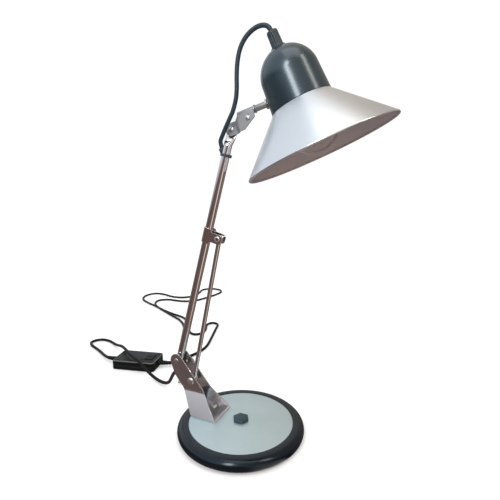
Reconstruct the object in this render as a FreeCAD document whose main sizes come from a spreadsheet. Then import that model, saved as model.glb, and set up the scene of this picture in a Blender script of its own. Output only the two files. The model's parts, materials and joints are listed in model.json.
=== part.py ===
import FreeCAD, Part
import math
import os
import Sketcher

# An architect desk lamp: a weighted round base, a sheet bracket, a leaning tube held by a thin brace
# whose clip slides on the tube, a wrist with a turning spindle, and a dome with a cone shade. The mains
# lead lies behind it. Millimetres. The origin is the centre of the base's underside, +Z is up and +X
# points towards the lamp's head.

SIZES = {
    # clearances
    "still_gap": 0.05,         # between two pieces that are fastened together
    "run_gap": 0.06,           # round a shaft that turns in its hole
    "side_gap": 0.1,           # beside a piece that turns
    # base
    "base_radius": 80.0,
    "base_height": 16.0,
    "ring_lift": 0.8,          # how far the moulded ring clears the table
    "ring_seat": 2.3,          # width of the ledge that the plate lies on
    "plate_radius": 65.7,
    "plate_sheet": 1.5,
    "plate_sink": 0.2,         # the plate's top lies this far under the ring's
    "pad_sheet": 2.0,
    "pad_radius": 61.0,
    "nut_well": 11.0,          # radius of the recess for the nut in the weight
    "nut_well_deep": 7.5,
    "hex_across": 18.4,        # across the flats of the centre bolt's head
    "hex_tall": 3.4,
    "bolt_shank": 4.0,         # radius
    # bracket
    "bracket_sheet": 1.6,
    "cheek_spread": 18.0,      # outside to outside, above the crease
    "foot_spread": 43.0,       # outside to outside, at the plate
    "foot_back": 61.4,         # how far behind the centre the foot starts
    "foot_front": 25.8,
    "crease_back": 79.7,
    "crease_front": 48.9,
    "crease_up": 30.0,         # above the plate
    "knee_back": 93.6,
    "knee_up": 46.5,
    "cheek_round": 9.3,
    "arm_pivot_back": 90.8,
    "arm_pivot_up": 65.4,      # above the plate
    "brace_pivot_back": 69.0,
    "brace_pivot_up": 41.4,
    "foot_screw_back": 46.0,
    "foot_screw_side": 12.5,
    "screw_shank": 1.9,        # radius
    "screw_head": 3.8,         # radius
    "screw_head_tall": 2.2,
    # pivots
    "pin_radius": 2.0,
    "pin_head": 3.2,           # radius
    "pin_head_tall": 0.9,
    "brace_head": 4.6,         # radius of the brace rivet's domed head
    "brace_head_tall": 1.9,
    "spacer_radius": 4.4,
    # arm
    "tube_radius": 5.0,
    "tube_wall": 1.0,
    "arm_lean": 15.2,          # degrees forward of upright
    "arm_length": 303.0,       # from the arm pivot to the wrist rivet
    "tube_tail": 9.0,          # tube below the arm pivot
    "press_long": 11.0,        # the tapered stretch where the tube is pressed flat
    "tongue_below": 6.5,       # flat tongue below the wrist rivet
    "tongue_sheet": 2.2,
    "tongue_round": 6.4,
    "tongue_side": 1.7,        # from the tube's middle plane to the tongue's near face
    "tie_position": 273.2,     # along the tube
    "tie_wide": 3.6,
    "tie_sheet": 1.5,
    "cord_hole": 2.9,          # radius
    # clip
    "clip_position": 175.3,    # along the tube, from the arm pivot
    "clip_reach": 16.75,       # from the tube's axis to the brace's upper pivot
    "clip_long": 18.5,
    "clip_sheet": 1.1,
    "clip_gap": 0.25,          # between the clip and the tube
    "ear_round": 5.4,
    "clip_rivet_bore": 1.3,    # radius, a hollow rivet
    "clip_rivet_head": 3.7,
    "clip_rivet_head_tall": 0.8,
    "clip_pin": 2.2,           # radius of the hollow rivet's shank
    # brace
    "rod_radius": 2.85,
    "eye_radius": 4.8,
    "eye_thick": 5.6,
    # wrist
    "wrist_rise": 15.16,       # degrees, the spindle above level
    "wrist_sheet": 1.5,
    "wrist_round": 7.4,
    "wrist_pin": 1.8,          # radius
    "wrist_head": 3.2,
    "wrist_head_tall": 1.3,
    "washer_sheet": 0.8,
    "spindle_up": 11.84,       # from the wrist rivet to the spindle's axis
    "spindle_radius": 2.7,
    "spindle_thick": 3.6,      # radius of its middle, between the collar and the washer
    "sleeve_wall": 1.0,
    "sleeve_start": 12.2,      # from the wrist rivet, along the spindle
    "sleeve_long": 20.5,
    "fold_at": 7.4,            # where the sheet steps out towards the sleeve
    "fold_run": 3.4,
    "collar_radius": 4.7,
    "collar_long": 1.4,
    "head_reach": 83.5,        # from the wrist rivet to the head's axis, along the spindle
    # head
    "head_cant": 8.2,          # degrees from square between the spindle and the head's axis
    "head_turn": 6.1,          # degrees that the head is turned about the spindle
    "neck_drop": 13.0,         # from the spindle down to the joint of dome and shade
    "neck_radius": 33.4,
    "dome_ball": 31.6,
    "dome_ball_up": 30.0,
    "dome_wall": 1.6,
    "shade_tall": 52.7,
    "shade_radius": 84.2,
    "shade_wall": 0.9,
    "bead_radius": 1.3,
    "shade_collar": 7.0,       # height of the shade's collar inside the dome
    "rivet_radius": 1.5,
    "grip_radius": 5.9,
    "grip_tall": 17.2,
    "grip_flange": 8.2,
    "grip_flange_tall": 1.8,
    "grip_bore": 2.6,
    "grip_thread": 4.6,
    "holder_radius": 19.5,
    "holder_tall": 40.0,
    "holder_wall": 2.6,
    "holder_floor": 6.5,
    "holder_shoulder": 8.5,    # height of the tapered top
    "holder_neck": 12.0,       # radius at the top
    "holder_up": 25.6,         # its top above the centre of the dome's ball
    "lamp_shell": 14.2,        # radius outside the holder's threaded shell
    "lamp_shell_wall": 0.5,
    "lamp_cap": 13.2,          # radius of the bulb's metal cap
    "lamp_cap_tall": 25.0,
    "bulb_ball": 30.0,
    "bulb_tip_below": 1.5,     # how far the bulb's tip passes the shade's mouth
    # lead and switch
    "cord_radius": 2.5,
    "relief_radius": 4.3,
    "relief_long": 10.0,
    "switch_long": 76.0,
    "switch_wide": 46.0,
    "switch_tall": 16.0,
    "switch_split": 8.0,       # height of the lower half
    "switch_wall": 2.0,
    "switch_corner": 5.0,
    "switch_back": 248.0,
    "switch_side": 95.5,
    "switch_turn": 14.3,       # degrees
    "rocker_long": 13.0,
    "rocker_wide": 19.0,
    "rocker_from_middle": 23.0,
    "rocker_proud": 1.4,
    "plug_long": 35.0,
    "plug_wide": 26.0,
    "plug_thick": 13.6,
    "plug_back": 149.8,
    "plug_side": 115.7,
    "plug_turn": -68.0,        # degrees
    "plug_pin_radius": 2.0,
    "plug_pin_long": 19.0,
    "plug_pin_apart": 18.6,
}

# The routes of the cords are chosen point by point and stay as they are when a size changes.
LAMP_LEAD_ROUTE = [
    (-91.06, 0.0, 80.24), (-94.73, 0.0, 66.72), (-103.0, 4.5, 57.0), (-113.5, 14.0, 47.5),
    (-127.5, 28.5, 32.0), (-144.0, 43.5, 13.5), (-163.0, 55.0, 4.0), (-184.0, 61.0, 4.0),
    (-204.0, 64.0, 13.0), (-224.0, 69.0, 22.5),
    (-249.0, 79.5, 24.5), (-276.0, 95.0, 24.5), (-301.0, 112.0, 20.0), (-326.0, 129.5, 10.0),
    (-350.0, 144.5, 3.0), (-374.0, 155.0, 2.7), (-396.0, 153.0, 2.7), (-404.0, 134.0, 2.7),
    (-388.0, 121.0, 2.7), (-365.0, 113.0, 2.7), (-345.0, 104.0, 2.9),
    (-325.5, 92.5, 5.0), (-302.26, 81.67, 8.0), (-280.95, 87.1, 8.0),
]
MAINS_LEAD_ROUTE = [
    (-215.05, 103.9, 8.0), (-193.74, 109.33, 8.0), (-188.5, 128.0, 3.4), (-186.0, 151.0, 2.7),
    (-177.0, 177.0, 2.7), (-177.0, 210.0, 2.7), (-188.0, 243.0, 2.7), (-200.0, 277.0, 2.7),
    (-212.0, 310.0, 2.7), (-220.0, 336.0, 2.7), (-240.0, 340.0, 2.7), (-244.0, 320.0, 2.7),
    (-231.0, 298.0, 2.7), (-223.0, 274.0, 2.7), (-232.0, 255.0, 2.7), (-252.0, 262.0, 2.7),
    (-270.0, 289.0, 2.7), (-293.0, 319.0, 2.7),
    (-322.0, 344.0, 2.7), (-362.0, 354.0, 2.7), (-404.0, 371.0, 2.7), (-446.0, 392.0, 2.7),
    (-487.0, 409.0, 2.7), (-521.0, 429.0, 2.7), (-540.0, 463.0, 2.7), (-531.0, 499.0, 2.7),
    (-496.0, 500.0, 2.7), (-460.0, 486.0, 2.7), (-424.0, 491.0, 2.7), (-405.0, 521.0, 2.7),
    (-411.0, 560.0, 2.7), (-425.0, 594.0, 2.7), (-405.0, 620.0, 2.7), (-371.0, 619.0, 2.7),
    (-353.0, 592.0, 2.7), (-356.0, 553.0, 2.7), (-364.0, 513.0, 2.7), (-377.0, 473.0, 2.7),
    (-412.0, 456.0, 2.7), (-450.0, 460.0, 2.7), (-475.0, 440.0, 2.7), (-461.0, 407.0, 2.7),
    (-428.0, 382.0, 2.7), (-389.0, 361.0, 2.7), (-351.0, 340.0, 2.7), (-316.0, 322.0, 2.7),
    (-286.0, 293.0, 2.7), (-262.0, 258.0, 2.7), (-238.0, 224.0, 2.7), (-217.0, 192.0, 5.0),
    (-201.5, 168.0, 12.8), (-184.5, 147.5, 12.8), (-158.4, 137.0, 6.8), (-149.97, 116.12, 6.8),
]
UPPER_CORD_ROUTE = [
    (41.45, -6.57, 463.9), (38.88, -7.26, 469.84), (34.5, -8.0, 474.6), (26.5, -8.8, 475.3),
    (18.0, -9.4, 471.9), (10.0, -10.0, 465.0), (4.0, -10.0, 455.0), (1.0, -10.0, 441.5),
    (0.3, -10.0, 427.5), (0.6, -10.0, 413.5), (-1.2, -9.6, 400.5), (-4.85, -9.3, 391.4),
]
LOWER_CORD_ROUTE = [
    (-5.3, -9.3, 390.4), (-9.6, -9.3, 382.5), (-15.0, -8.3, 374.0), (-20.5, -5.6, 366.0),
    (-26.07, -2.27, 359.1), (-20.1, 0.0, 343.33),
]

document = FreeCAD.newDocument("desk_lamp")
nodes = []


class Size:
    """A size that keeps its number and the expression that gives it from the sheet's cells."""

    def __init__(self, number, text):
        self.number = number
        self.text = text

    def __add__(self, other):
        return Size(self.number + number(other), "(%s + %s)" % (self.text, text(other)))

    def __radd__(self, other):
        return Size(number(other) + self.number, "(%s + %s)" % (text(other), self.text))

    def __sub__(self, other):
        return Size(self.number - number(other), "(%s - %s)" % (self.text, text(other)))

    def __rsub__(self, other):
        return Size(number(other) - self.number, "(%s - %s)" % (text(other), self.text))

    def __mul__(self, other):
        return Size(self.number * number(other), "(%s * %s)" % (self.text, text(other)))

    def __rmul__(self, other):
        return Size(number(other) * self.number, "(%s * %s)" % (text(other), self.text))

    def __truediv__(self, other):
        return Size(self.number / number(other), "(%s / %s)" % (self.text, text(other)))

    def __neg__(self):
        return Size(-self.number, "(0 - %s)" % self.text)

    def __float__(self):
        return self.number


def number(item):
    return item.number if isinstance(item, Size) else float(item)


def text(item):
    return item.text if isinstance(item, Size) else "%.9g" % item


def cosine(angle):
    return Size(math.cos(math.radians(number(angle))), "cos(%s * 1 deg)" % text(angle))


def sine(angle):
    return Size(math.sin(math.radians(number(angle))), "sin(%s * 1 deg)" % text(angle))


def root(item):
    return Size(math.sqrt(number(item)), "sqrt(%s)" % text(item))


def write_sheet():
    """Writes the driving sizes into the sheet, one row each, and gives each its alias."""
    sheet = document.addObject("Spreadsheet::Sheet", "sizes")
    for row, (alias, value) in enumerate(SIZES.items(), start=1):
        sheet.set("A%d" % row, alias)
        sheet.set("B%d" % row, "%.9g" % value)
        sheet.setAlias("B%d" % row, alias)
    document.recompute()
    return sheet


class Sheet:
    """Reads the sheet: sheet.base_radius is a Size bound to that cell."""

    def __init__(self, cells):
        self.cells = cells

    def __getattr__(self, alias):
        return Size(float(getattr(self.cells, alias)), "sizes.%s" % alias)


s = Sheet(write_sheet())
X = FreeCAD.Vector(1, 0, 0)
Y = FreeCAD.Vector(0, 1, 0)
Z = FreeCAD.Vector(0, 0, 1)


def point(x, y, z):
    return FreeCAD.Vector(number(x), number(y), number(z))


def turned(axis, degrees):
    return FreeCAD.Rotation(axis, number(degrees))


# ---------------------------------------------------------------- places that several pieces share
plate_top = s.base_height - s.plate_sink
arm_pivot = (-s.arm_pivot_back, plate_top + s.arm_pivot_up)
brace_pivot = (-s.brace_pivot_back, plate_top + s.brace_pivot_up)
lean_x, lean_z = sine(s.arm_lean), cosine(s.arm_lean)
clip_pivot = (
    arm_pivot[0] + s.clip_position * lean_x + s.clip_reach * lean_z,
    arm_pivot[1] + s.clip_position * lean_z - s.clip_reach * lean_x,
)
brace_run = (clip_pivot[0] - brace_pivot[0], clip_pivot[1] - brace_pivot[1])
brace_length = root(brace_run[0] * brace_run[0] + brace_run[1] * brace_run[1])
brace_lean = math.degrees(math.atan2(number(brace_run[0]), number(brace_run[1])))
wrist_point = (arm_pivot[0] + s.arm_length * lean_x, arm_pivot[1] + s.arm_length * lean_z)

ROOT_FRAME = FreeCAD.Placement()
ARM_FRAME = FreeCAD.Placement(point(arm_pivot[0], 0, arm_pivot[1]), turned(Y, s.arm_lean))
BRACE_FRAME = FreeCAD.Placement(point(brace_pivot[0], 0, brace_pivot[1]), turned(Y, brace_lean))
CLIP_FRAME = ARM_FRAME.multiply(FreeCAD.Placement(point(0, 0, s.clip_position), FreeCAD.Rotation()))
WRIST_FRAME = FreeCAD.Placement(point(wrist_point[0], 0, wrist_point[1]), turned(Y, -s.wrist_rise))
SPINDLE_FRAME = WRIST_FRAME.multiply(FreeCAD.Placement(point(0, 0, s.spindle_up), turned(X, s.head_turn)))
HEAD_FRAME = SPINDLE_FRAME.multiply(
    FreeCAD.Placement(point(s.head_reach, 0, 0), turned(Y, -s.head_cant)))
SWITCH_FRAME = FreeCAD.Placement(point(-s.switch_back, s.switch_side, 0), turned(Z, s.switch_turn))
PLUG_FRAME = FreeCAD.Placement(point(-s.plug_back, s.plug_side, 0), turned(Z, s.plug_turn))


# ---------------------------------------------------------------- building blocks
def bind(thing, prop, size):
    """Sets a property from the sheet, so that it follows its cells."""
    setattr(thing, prop, number(size))
    if isinstance(size, Size):
        thing.setExpression(prop, size.text)


def move_to(thing, base, rotation=None):
    """Places a tool inside its piece, with each coordinate bound to the sheet."""
    thing.Placement = FreeCAD.Placement(point(*base), rotation or FreeCAD.Rotation())
    for axis, size in zip("xyz", base):
        if isinstance(size, Size):
            thing.setExpression("Placement.Base.%s" % axis, size.text)
    return thing


def rod(radius, length, base=(0, 0, 0), along=Z):
    thing = document.addObject("Part::Cylinder", "rod")
    bind(thing, "Radius", radius)
    bind(thing, "Height", length)
    return move_to(thing, base, FreeCAD.Rotation(Z, along))


def cone(radius1, radius2, length, base=(0, 0, 0), along=Z):
    thing = document.addObject("Part::Cone", "cone")
    bind(thing, "Radius1", radius1)
    bind(thing, "Radius2", radius2)
    bind(thing, "Height", length)
    return move_to(thing, base, FreeCAD.Rotation(Z, along))


def block(long, wide, tall, base=(0, 0, 0)):
    thing = document.addObject("Part::Box", "block")
    bind(thing, "Length", long)
    bind(thing, "Width", wide)
    bind(thing, "Height", tall)
    return move_to(thing, base)


def ball(radius, base=(0, 0, 0)):
    thing = document.addObject("Part::Sphere", "ball")
    bind(thing, "Radius", radius)
    return move_to(thing, base)


def hexagon(across, tall, base=(0, 0, 0)):
    """A hexagonal prism, given by its width across the flats."""
    thing = document.addObject("Part::Prism", "hexagon")
    thing.Polygon = 6
    bind(thing, "Circumradius", across / math.sqrt(3.0))
    bind(thing, "Height", tall)
    return move_to(thing, base)


def join(*things):
    thing = document.addObject("Part::MultiFuse", "join")
    thing.Shapes = list(things)
    return thing


def cut(base, *tools):
    thing = document.addObject("Part::Cut", "cut")
    thing.Base = base
    thing.Tool = tools[0] if len(tools) == 1 else join(*tools)
    return thing


def common(base, tool):
    thing = document.addObject("Part::Common", "common")
    thing.Base = base
    thing.Tool = tool
    return thing


def group(*things):
    thing = document.addObject("Part::Compound", "group")
    thing.Links = list(things)
    return thing


def ring(outer, inner, length, base=(0, 0, 0), along=Z):
    return cut(rod(outer, length, base, along), rod(inner, length, base, along))


def arc(x, y):
    """Marks an outline's next edge as a counter-clockwise arc about this centre."""
    return (x, y)


def draw_outline(body, role, corners, offset=0):
    """A closed sketch whose corners, and the centres of its arcs, are bound to the sheet."""
    sketch = body.newObject("Sketcher::SketchObject", "outline")
    plane = [item for item in body.Origin.OriginFeatures if item.Role == role][0]
    sketch.AttachmentSupport = (plane, [""])
    sketch.MapMode = "FlatFace"
    sketch.AttachmentOffset = FreeCAD.Placement(point(0, 0, offset), FreeCAD.Rotation())
    if isinstance(offset, Size):
        sketch.setExpression("AttachmentOffset.Base.z", offset.text)
    for corner, following in zip(corners, corners[1:] + corners[:1]):
        start = point(corner[0], corner[1], 0)
        end = point(following[0], following[1], 0)
        if len(corner) == 3:
            centre = point(corner[2][0], corner[2][1], 0)
            radius = (start - centre).Length
            first = math.atan2(start.y - centre.y, start.x - centre.x)
            last = math.atan2(end.y - centre.y, end.x - centre.x)
            last += 0 if last > first else 2 * math.pi
            sketch.addGeometry(Part.ArcOfCircle(Part.Circle(centre, Z, radius), first, last))
        else:
            sketch.addGeometry(Part.LineSegment(start, end))
    for index in range(len(corners)):
        pin_corner(sketch, index, corners)
    return sketch


def pin_corner(sketch, index, corners):
    """Ties one corner of a sketch to the sheet, and joins it to the edge before it."""
    corner, before = corners[index], (index - 1) % len(corners)
    sketch.addConstraint(Sketcher.Constraint("Coincident", before, 2, index, 1))
    for kind, size in zip(("DistanceX", "DistanceY"), corner[:2]):
        pin_point(sketch, index, 1, kind, size)
    if len(corner) == 3:
        following = corners[(index + 1) % len(corners)]
        across = abs(number(corner[0]) - number(following[0]))
        upright = abs(number(corner[1]) - number(following[1]))
        kind, size = ("DistanceY", corner[2][1]) if across > upright else ("DistanceX", corner[2][0])
        pin_point(sketch, index, 3, kind, size)


def pin_point(sketch, index, place, kind, size):
    mark = sketch.addConstraint(Sketcher.Constraint(kind, -1, 1, index, place, number(size)))
    if isinstance(size, Size):
        sketch.setExpression("Constraints[%d]" % mark, size.text)


def turned_body(corners):
    """A body turned about Z from its half section, given as (radius, height) corners."""
    body = document.addObject("PartDesign::Body", "turned")
    sketch = draw_outline(body, "XZ_Plane", corners)
    revolution = body.newObject("PartDesign::Revolution", "revolution")
    revolution.Profile = sketch
    revolution.ReferenceAxis = (sketch, ["V_Axis"])
    revolution.Angle = 360.0
    return body


def padded_body(role, corners, length, offset=0):
    """A body padded from an outline; from the XZ plane it grows towards -Y."""
    body = document.addObject("PartDesign::Body", "padded")
    sketch = draw_outline(body, role, corners, offset)
    pad = body.newObject("PartDesign::Pad", "pad")
    pad.Profile = sketch
    bind(pad, "Length", length)
    return body


def domed_head(radius, tall, base, along):
    """A rivet's domed head, standing on its base."""
    curve = (radius * radius + tall * tall) / (2 * tall)
    body = turned_body([(0, 0), (radius, 0, arc(0, tall - curve)), (0, tall)])
    return move_to(body, base, FreeCAD.Rotation(Z, along))


def rectangle(long, wide):
    return [(-long / 2, -wide / 2), (long / 2, -wide / 2), (long / 2, wide / 2), (-long / 2, wide / 2)]


def round_edges(body, radius, chosen):
    """Fillets the chosen edges of a body's last feature."""
    document.recompute()
    last = body.Tip
    names = ["Edge%d" % (i + 1) for i, edge in enumerate(last.Shape.Edges) if chosen(edge)]
    fillet = body.newObject("PartDesign::Fillet", "fillet")
    fillet.Base = (last, names)
    bind(fillet, "Radius", radius)
    return body


def upright(edge):
    return abs(edge.tangentAt(edge.FirstParameter).z) > 0.99 and len(edge.Vertexes) == 2


def raw(shape):
    """A piece whose shape is worked out here, where no feature makes it."""
    thing = document.addObject("Part::Feature", "raw")
    thing.Shape = shape
    return thing


def add_node(name, thing, frame=ROOT_FRAME):
    """Names a finished piece and puts it in its frame."""
    if thing.isDerivedFrom("Part::Primitive"):
        thing = group(thing)
    thing.Label = name
    thing.Placement = frame
    nodes.append(thing)


# ---------------------------------------------------------------- base
ring_bottom = s.ring_lift
ring_half = (s.base_height - s.ring_lift) / 2
ring_centre = s.base_radius - ring_half
plate_bottom = plate_top - s.plate_sheet
ring_bore = s.plate_radius - s.ring_seat


def add_base_ring():
    seat = plate_bottom - s.still_gap
    rim = s.plate_radius + s.still_gap
    corners = [
        (ring_bore, ring_bottom),
        (ring_centre, ring_bottom, arc(ring_centre, ring_bottom + ring_half)),
        (ring_centre, s.base_height),
        (rim, s.base_height),
        (rim, seat),
        (ring_bore, seat),
    ]
    add_node("base_ring", turned_body(corners))


def foot_screw_places():
    return [(-s.foot_screw_back, side * s.foot_screw_side) for side in (-1, 1)]


def add_base_plate():
    disc = rod(s.plate_radius, s.plate_sheet, (0, 0, plate_bottom))
    holes = [rod(s.bolt_shank + s.still_gap, s.plate_sheet, (0, 0, plate_bottom))]
    for x, y in foot_screw_places():
        holes.append(rod(s.screw_shank + s.still_gap, s.plate_sheet, (x, y, plate_bottom)))
    add_node("base_plate", cut(disc, *holes))


def add_base_weight():
    top = plate_bottom - s.still_gap
    bottom = s.pad_sheet + s.still_gap
    slug = rod(ring_bore - s.still_gap, top - bottom, (0, 0, bottom))
    holes = [
        rod(s.bolt_shank + s.still_gap, top - bottom, (0, 0, bottom)),
        rod(s.nut_well, s.nut_well_deep, (0, 0, bottom)),
    ]
    for x, y in foot_screw_places():
        holes.append(rod(s.screw_shank + s.still_gap, top - bottom, (x, y, bottom)))
    add_node("base_weight", cut(slug, *holes))


def add_foot_pad():
    add_node("foot_pad", rod(s.pad_radius, s.pad_sheet))


def add_centre_bolt():
    washer_sheet, nut_tall, nut_across = 1.6, 4.4, 13.0
    seat = s.pad_sheet + s.still_gap + s.nut_well_deep - s.still_gap
    foot = seat - washer_sheet - nut_tall - 0.4
    head = common(
        hexagon(s.hex_across, s.hex_tall, (0, 0, plate_top + s.still_gap)),
        cone(s.hex_across * 0.64, s.hex_across * 0.5, s.hex_tall, (0, 0, plate_top + s.still_gap)),
    )
    dish = rod(s.hex_across * 0.27, 0.8, (0, 0, plate_top + s.still_gap + s.hex_tall - 0.8))
    shank = rod(s.bolt_shank, plate_top + s.still_gap - foot, (0, 0, foot))
    add_node("centre_bolt", join(cut(head, dish), shank))
    bore = s.bolt_shank + s.still_gap
    washer = ring(s.nut_well - 1, bore, washer_sheet - s.still_gap, (0, 0, seat - washer_sheet))
    add_node("bolt_washer", washer)
    nut = hexagon(nut_across, nut_tall - s.still_gap, (0, 0, seat - washer_sheet - nut_tall))
    add_node("bolt_nut", cut(nut, rod(bore, nut_tall, (0, 0, seat - washer_sheet - nut_tall))))


# ---------------------------------------------------------------- bracket
def tangent_point(outside, centre, radius, side):
    """The point of a circle where the line from an outside point touches it, on the given side."""
    away = centre - outside
    swing = math.asin(radius / away.Length) * side
    reach = math.sqrt(away.Length ** 2 - radius ** 2)
    direction = FreeCAD.Rotation(Y, math.degrees(swing)).multVec(away) * (reach / away.Length)
    return outside + direction


def cheek_face(y):
    """The upper part of one cheek, from its crease to the round top over the arm pivot."""
    pivot = point(arm_pivot[0], y, arm_pivot[1])
    radius = number(s.cheek_round)
    back = point(-s.crease_back, y, plate_top + s.crease_up)
    knee = point(-s.knee_back, y, plate_top + s.knee_up)
    front = point(-s.crease_front, y, plate_top + s.crease_up)
    rear_touch = tangent_point(knee, pivot, radius, -1)
    front_touch = tangent_point(front, pivot, radius, 1)
    outward = (pivot - (rear_touch + front_touch) * 0.5).normalize() * -radius
    top = pivot + (outward if outward.z > 0 else -outward)
    edges = [
        Part.LineSegment(back, knee).toShape(),
        Part.LineSegment(knee, rear_touch).toShape(),
        Part.Arc(rear_touch, top, front_touch).toShape(),
        Part.LineSegment(front_touch, front).toShape(),
        Part.LineSegment(front, back).toShape(),
    ]
    return Part.Face(Part.Wire(edges))


def flare_face(side):
    """The lower part of one cheek, leaning out from the crease to the foot."""
    high, low = number(s.cheek_spread / 2) * side, number(s.foot_spread / 2) * side
    crease, foot = plate_top + s.crease_up, plate_top + s.still_gap
    corners = [
        point(-s.crease_back, high, crease), point(-s.crease_front, high, crease),
        point(-s.foot_front, low, foot), point(-s.foot_back, low, foot),
    ]
    return Part.Face(Part.makePolygon(corners + corners[:1]))


def add_bracket():
    sheet = number(s.bracket_sheet)
    lean = math.atan2(number(s.foot_spread - s.cheek_spread) / 2, number(s.crease_up))
    shapes = []
    for side in (-1, 1):
        inward = FreeCAD.Vector(0, -side, 0)
        shapes.append(cheek_face(side * number(s.cheek_spread / 2)).extrude(inward * sheet))
        shapes.append(flare_face(side).extrude(inward * (sheet / math.cos(lean))))
    web = Part.makeBox(
        number(s.foot_back - s.foot_front), number(s.foot_spread), sheet,
        point(-s.foot_back, -s.foot_spread / 2, plate_top + s.still_gap))
    shape = shapes[0].fuse(shapes[1:] + [web])
    holes = []
    for place in (arm_pivot, brace_pivot):
        start = point(place[0], -s.cheek_spread, place[1])
        across = 2 * number(s.cheek_spread)
        holes.append(Part.makeCylinder(number(s.pin_radius + s.still_gap), across, start, Y))
    for x, y in foot_screw_places():
        start = point(x, y, plate_top - 4)
        holes.append(Part.makeCylinder(number(s.screw_shank + s.still_gap), 10, start, Z))
    add_node("bracket", raw(shape.cut(holes).removeSplitter()))


def add_bracket_screws():
    screws = []
    web_top = plate_top + s.bracket_sheet + 2 * s.still_gap
    bottom = s.pad_sheet + 3
    for x, y in foot_screw_places():
        head = cone(s.screw_head, s.screw_head * 0.72, s.screw_head_tall, (x, y, web_top))
        half = s.screw_head * 0.65
        slot_floor = web_top + s.screw_head_tall - 1
        slot = block(2 * half, 0.9, 1.0, (x - half, y - 0.45, slot_floor))
        cross = block(0.9, 2 * half, 1.0, (x - 0.45, y - half, slot_floor))
        shank = rod(s.screw_shank, web_top - bottom, (x, y, bottom))
        screws.append(join(cut(head, slot, cross), shank))
    add_node("bracket_screws", group(*screws))


# ---------------------------------------------------------------- pivots between the bracket, tube and brace
cheek_inside = s.cheek_spread / 2 - s.bracket_sheet


def add_arm_pins():
    """Two stub pins, one in each cheek, so that the cord can pass between them inside the tube."""
    pins = []
    for side in (-1, 1):
        along = Y * side
        x, z = arm_pivot
        start = s.tube_radius - s.tube_wall - 0.5
        face = s.cheek_spread / 2 + s.still_gap
        shank = rod(s.pin_radius, face - start, (x, side * start, z), along)
        head = cone(s.pin_head, s.pin_head * 0.6, s.pin_head_tall, (x, side * face, z), along)
        pins.append(join(shank, head))
    add_node("arm_pivot_pins", group(*pins))


def spacer_pair(place, inner_face, radius, bore):
    """Two rings between a moving piece and the cheeks."""
    rings = []
    x, z = place
    for side in (-1, 1):
        start = inner_face + s.side_gap
        length = cheek_inside - s.still_gap - start
        rings.append(ring(radius, bore, length, (x, side * start, z), Y * side))
    return group(*rings)


def add_pivot_spacers():
    bore = s.pin_radius + s.still_gap
    add_node("arm_spacers", spacer_pair(arm_pivot, s.tube_radius, s.spacer_radius, bore))
    add_node("brace_spacers", spacer_pair(brace_pivot, s.eye_thick / 2, s.spacer_radius - 0.8, bore))


def add_brace_rivet():
    x, z = brace_pivot
    face = s.cheek_spread / 2 + s.still_gap
    shank = rod(s.pin_radius, 2 * face, (x, -face, z), Y)
    heads = [domed_head(s.brace_head, s.brace_head_tall, (x, side * face, z), Y * side)
             for side in (-1, 1)]
    add_node("brace_rivet", join(shank, *heads))


# ---------------------------------------------------------------- arm
tongue_start = s.arm_length - s.tongue_below
press_start = tongue_start - s.press_long
bore_end = press_start - 2
tongue_middle = s.tongue_side + s.tongue_sheet / 2


def obround(half_wide, half_thick, y, z):
    """A flat section with rounded ends, at one height of the tube."""
    w, t = number(half_wide) - number(half_thick), number(half_thick)
    edges = [
        Part.LineSegment(FreeCAD.Vector(-w, y - t, z), FreeCAD.Vector(w, y - t, z)).toShape(),
        Part.Arc(
            FreeCAD.Vector(w, y - t, z), FreeCAD.Vector(w + t, y, z), FreeCAD.Vector(w, y + t, z)).toShape(),
        Part.LineSegment(FreeCAD.Vector(w, y + t, z), FreeCAD.Vector(-w, y + t, z)).toShape(),
        Part.Arc(
            FreeCAD.Vector(-w, y + t, z), FreeCAD.Vector(-w - t, y, z),
            FreeCAD.Vector(-w, y - t, z)).toShape(),
    ]
    return Part.Wire(edges)


# where the cord slants into the tube, in the arm's frame
ENTRY_END = FreeCAD.Vector(-0.5, 0.0, 271.5)
ENTRY_RUN = FreeCAD.Vector(-8.7, -2.0, 12.0)


def add_arm_tube():
    """A round tube whose top is pressed flat into a tongue for the wrist rivet."""
    radius, tail = number(s.tube_radius), number(s.tube_tail)
    round_part = Part.makeCylinder(radius, number(press_start) + tail, point(0, 0, -tail), Z)
    foot = obround(radius * 1.002, radius, 0, number(press_start))
    head = obround(s.tongue_round, s.tongue_sheet / 2, number(tongue_middle), number(tongue_start))
    press = Part.makeLoft([foot, head], True, True)
    tongue = Part.makeBox(
        2 * number(s.tongue_round), number(s.tongue_sheet), number(s.tongue_below),
        point(-s.tongue_round, s.tongue_side, tongue_start))
    tip = Part.makeCylinder(
        number(s.tongue_round), number(s.tongue_sheet), point(0, s.tongue_side, s.arm_length), Y)
    bore = Part.makeCylinder(
        number(s.tube_radius - s.tube_wall), number(bore_end) + tail, point(0, 0, -tail), Z)
    rivet_hole = Part.makeCylinder(
        number(s.wrist_pin + s.still_gap), 20, point(0, -10, s.arm_length), Y)
    pin_holes = Part.makeCylinder(
        number(s.pin_radius + s.run_gap), 4 * radius, point(0, -2 * s.tube_radius, 0), Y)
    side_hole = Part.makeCylinder(number(s.cord_hole), 3 * radius, ENTRY_END, ENTRY_RUN)
    shape = round_part.fuse([press, tongue, tip]).cut([bore, rivet_hole, pin_holes, side_hole])
    add_node("arm_tube", raw(shape.removeSplitter()), ARM_FRAME)


def add_tube_bush():
    """A plastic bush that guards the cord where it leaves the tube's lower end."""
    inner = s.tube_radius - s.tube_wall - s.still_gap
    corners = [
        (s.cord_radius + 0.3, -s.tube_tail - 1.2),
        (s.tube_radius, -s.tube_tail - 1.2),
        (s.tube_radius, -s.tube_tail - s.still_gap),
        (inner, -s.tube_tail - s.still_gap),
        (inner, -s.tube_tail + 4),
        (s.cord_radius + 0.3, -s.tube_tail + 4),
    ]
    add_node("tube_bush", turned_body(corners), ARM_FRAME)


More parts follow.
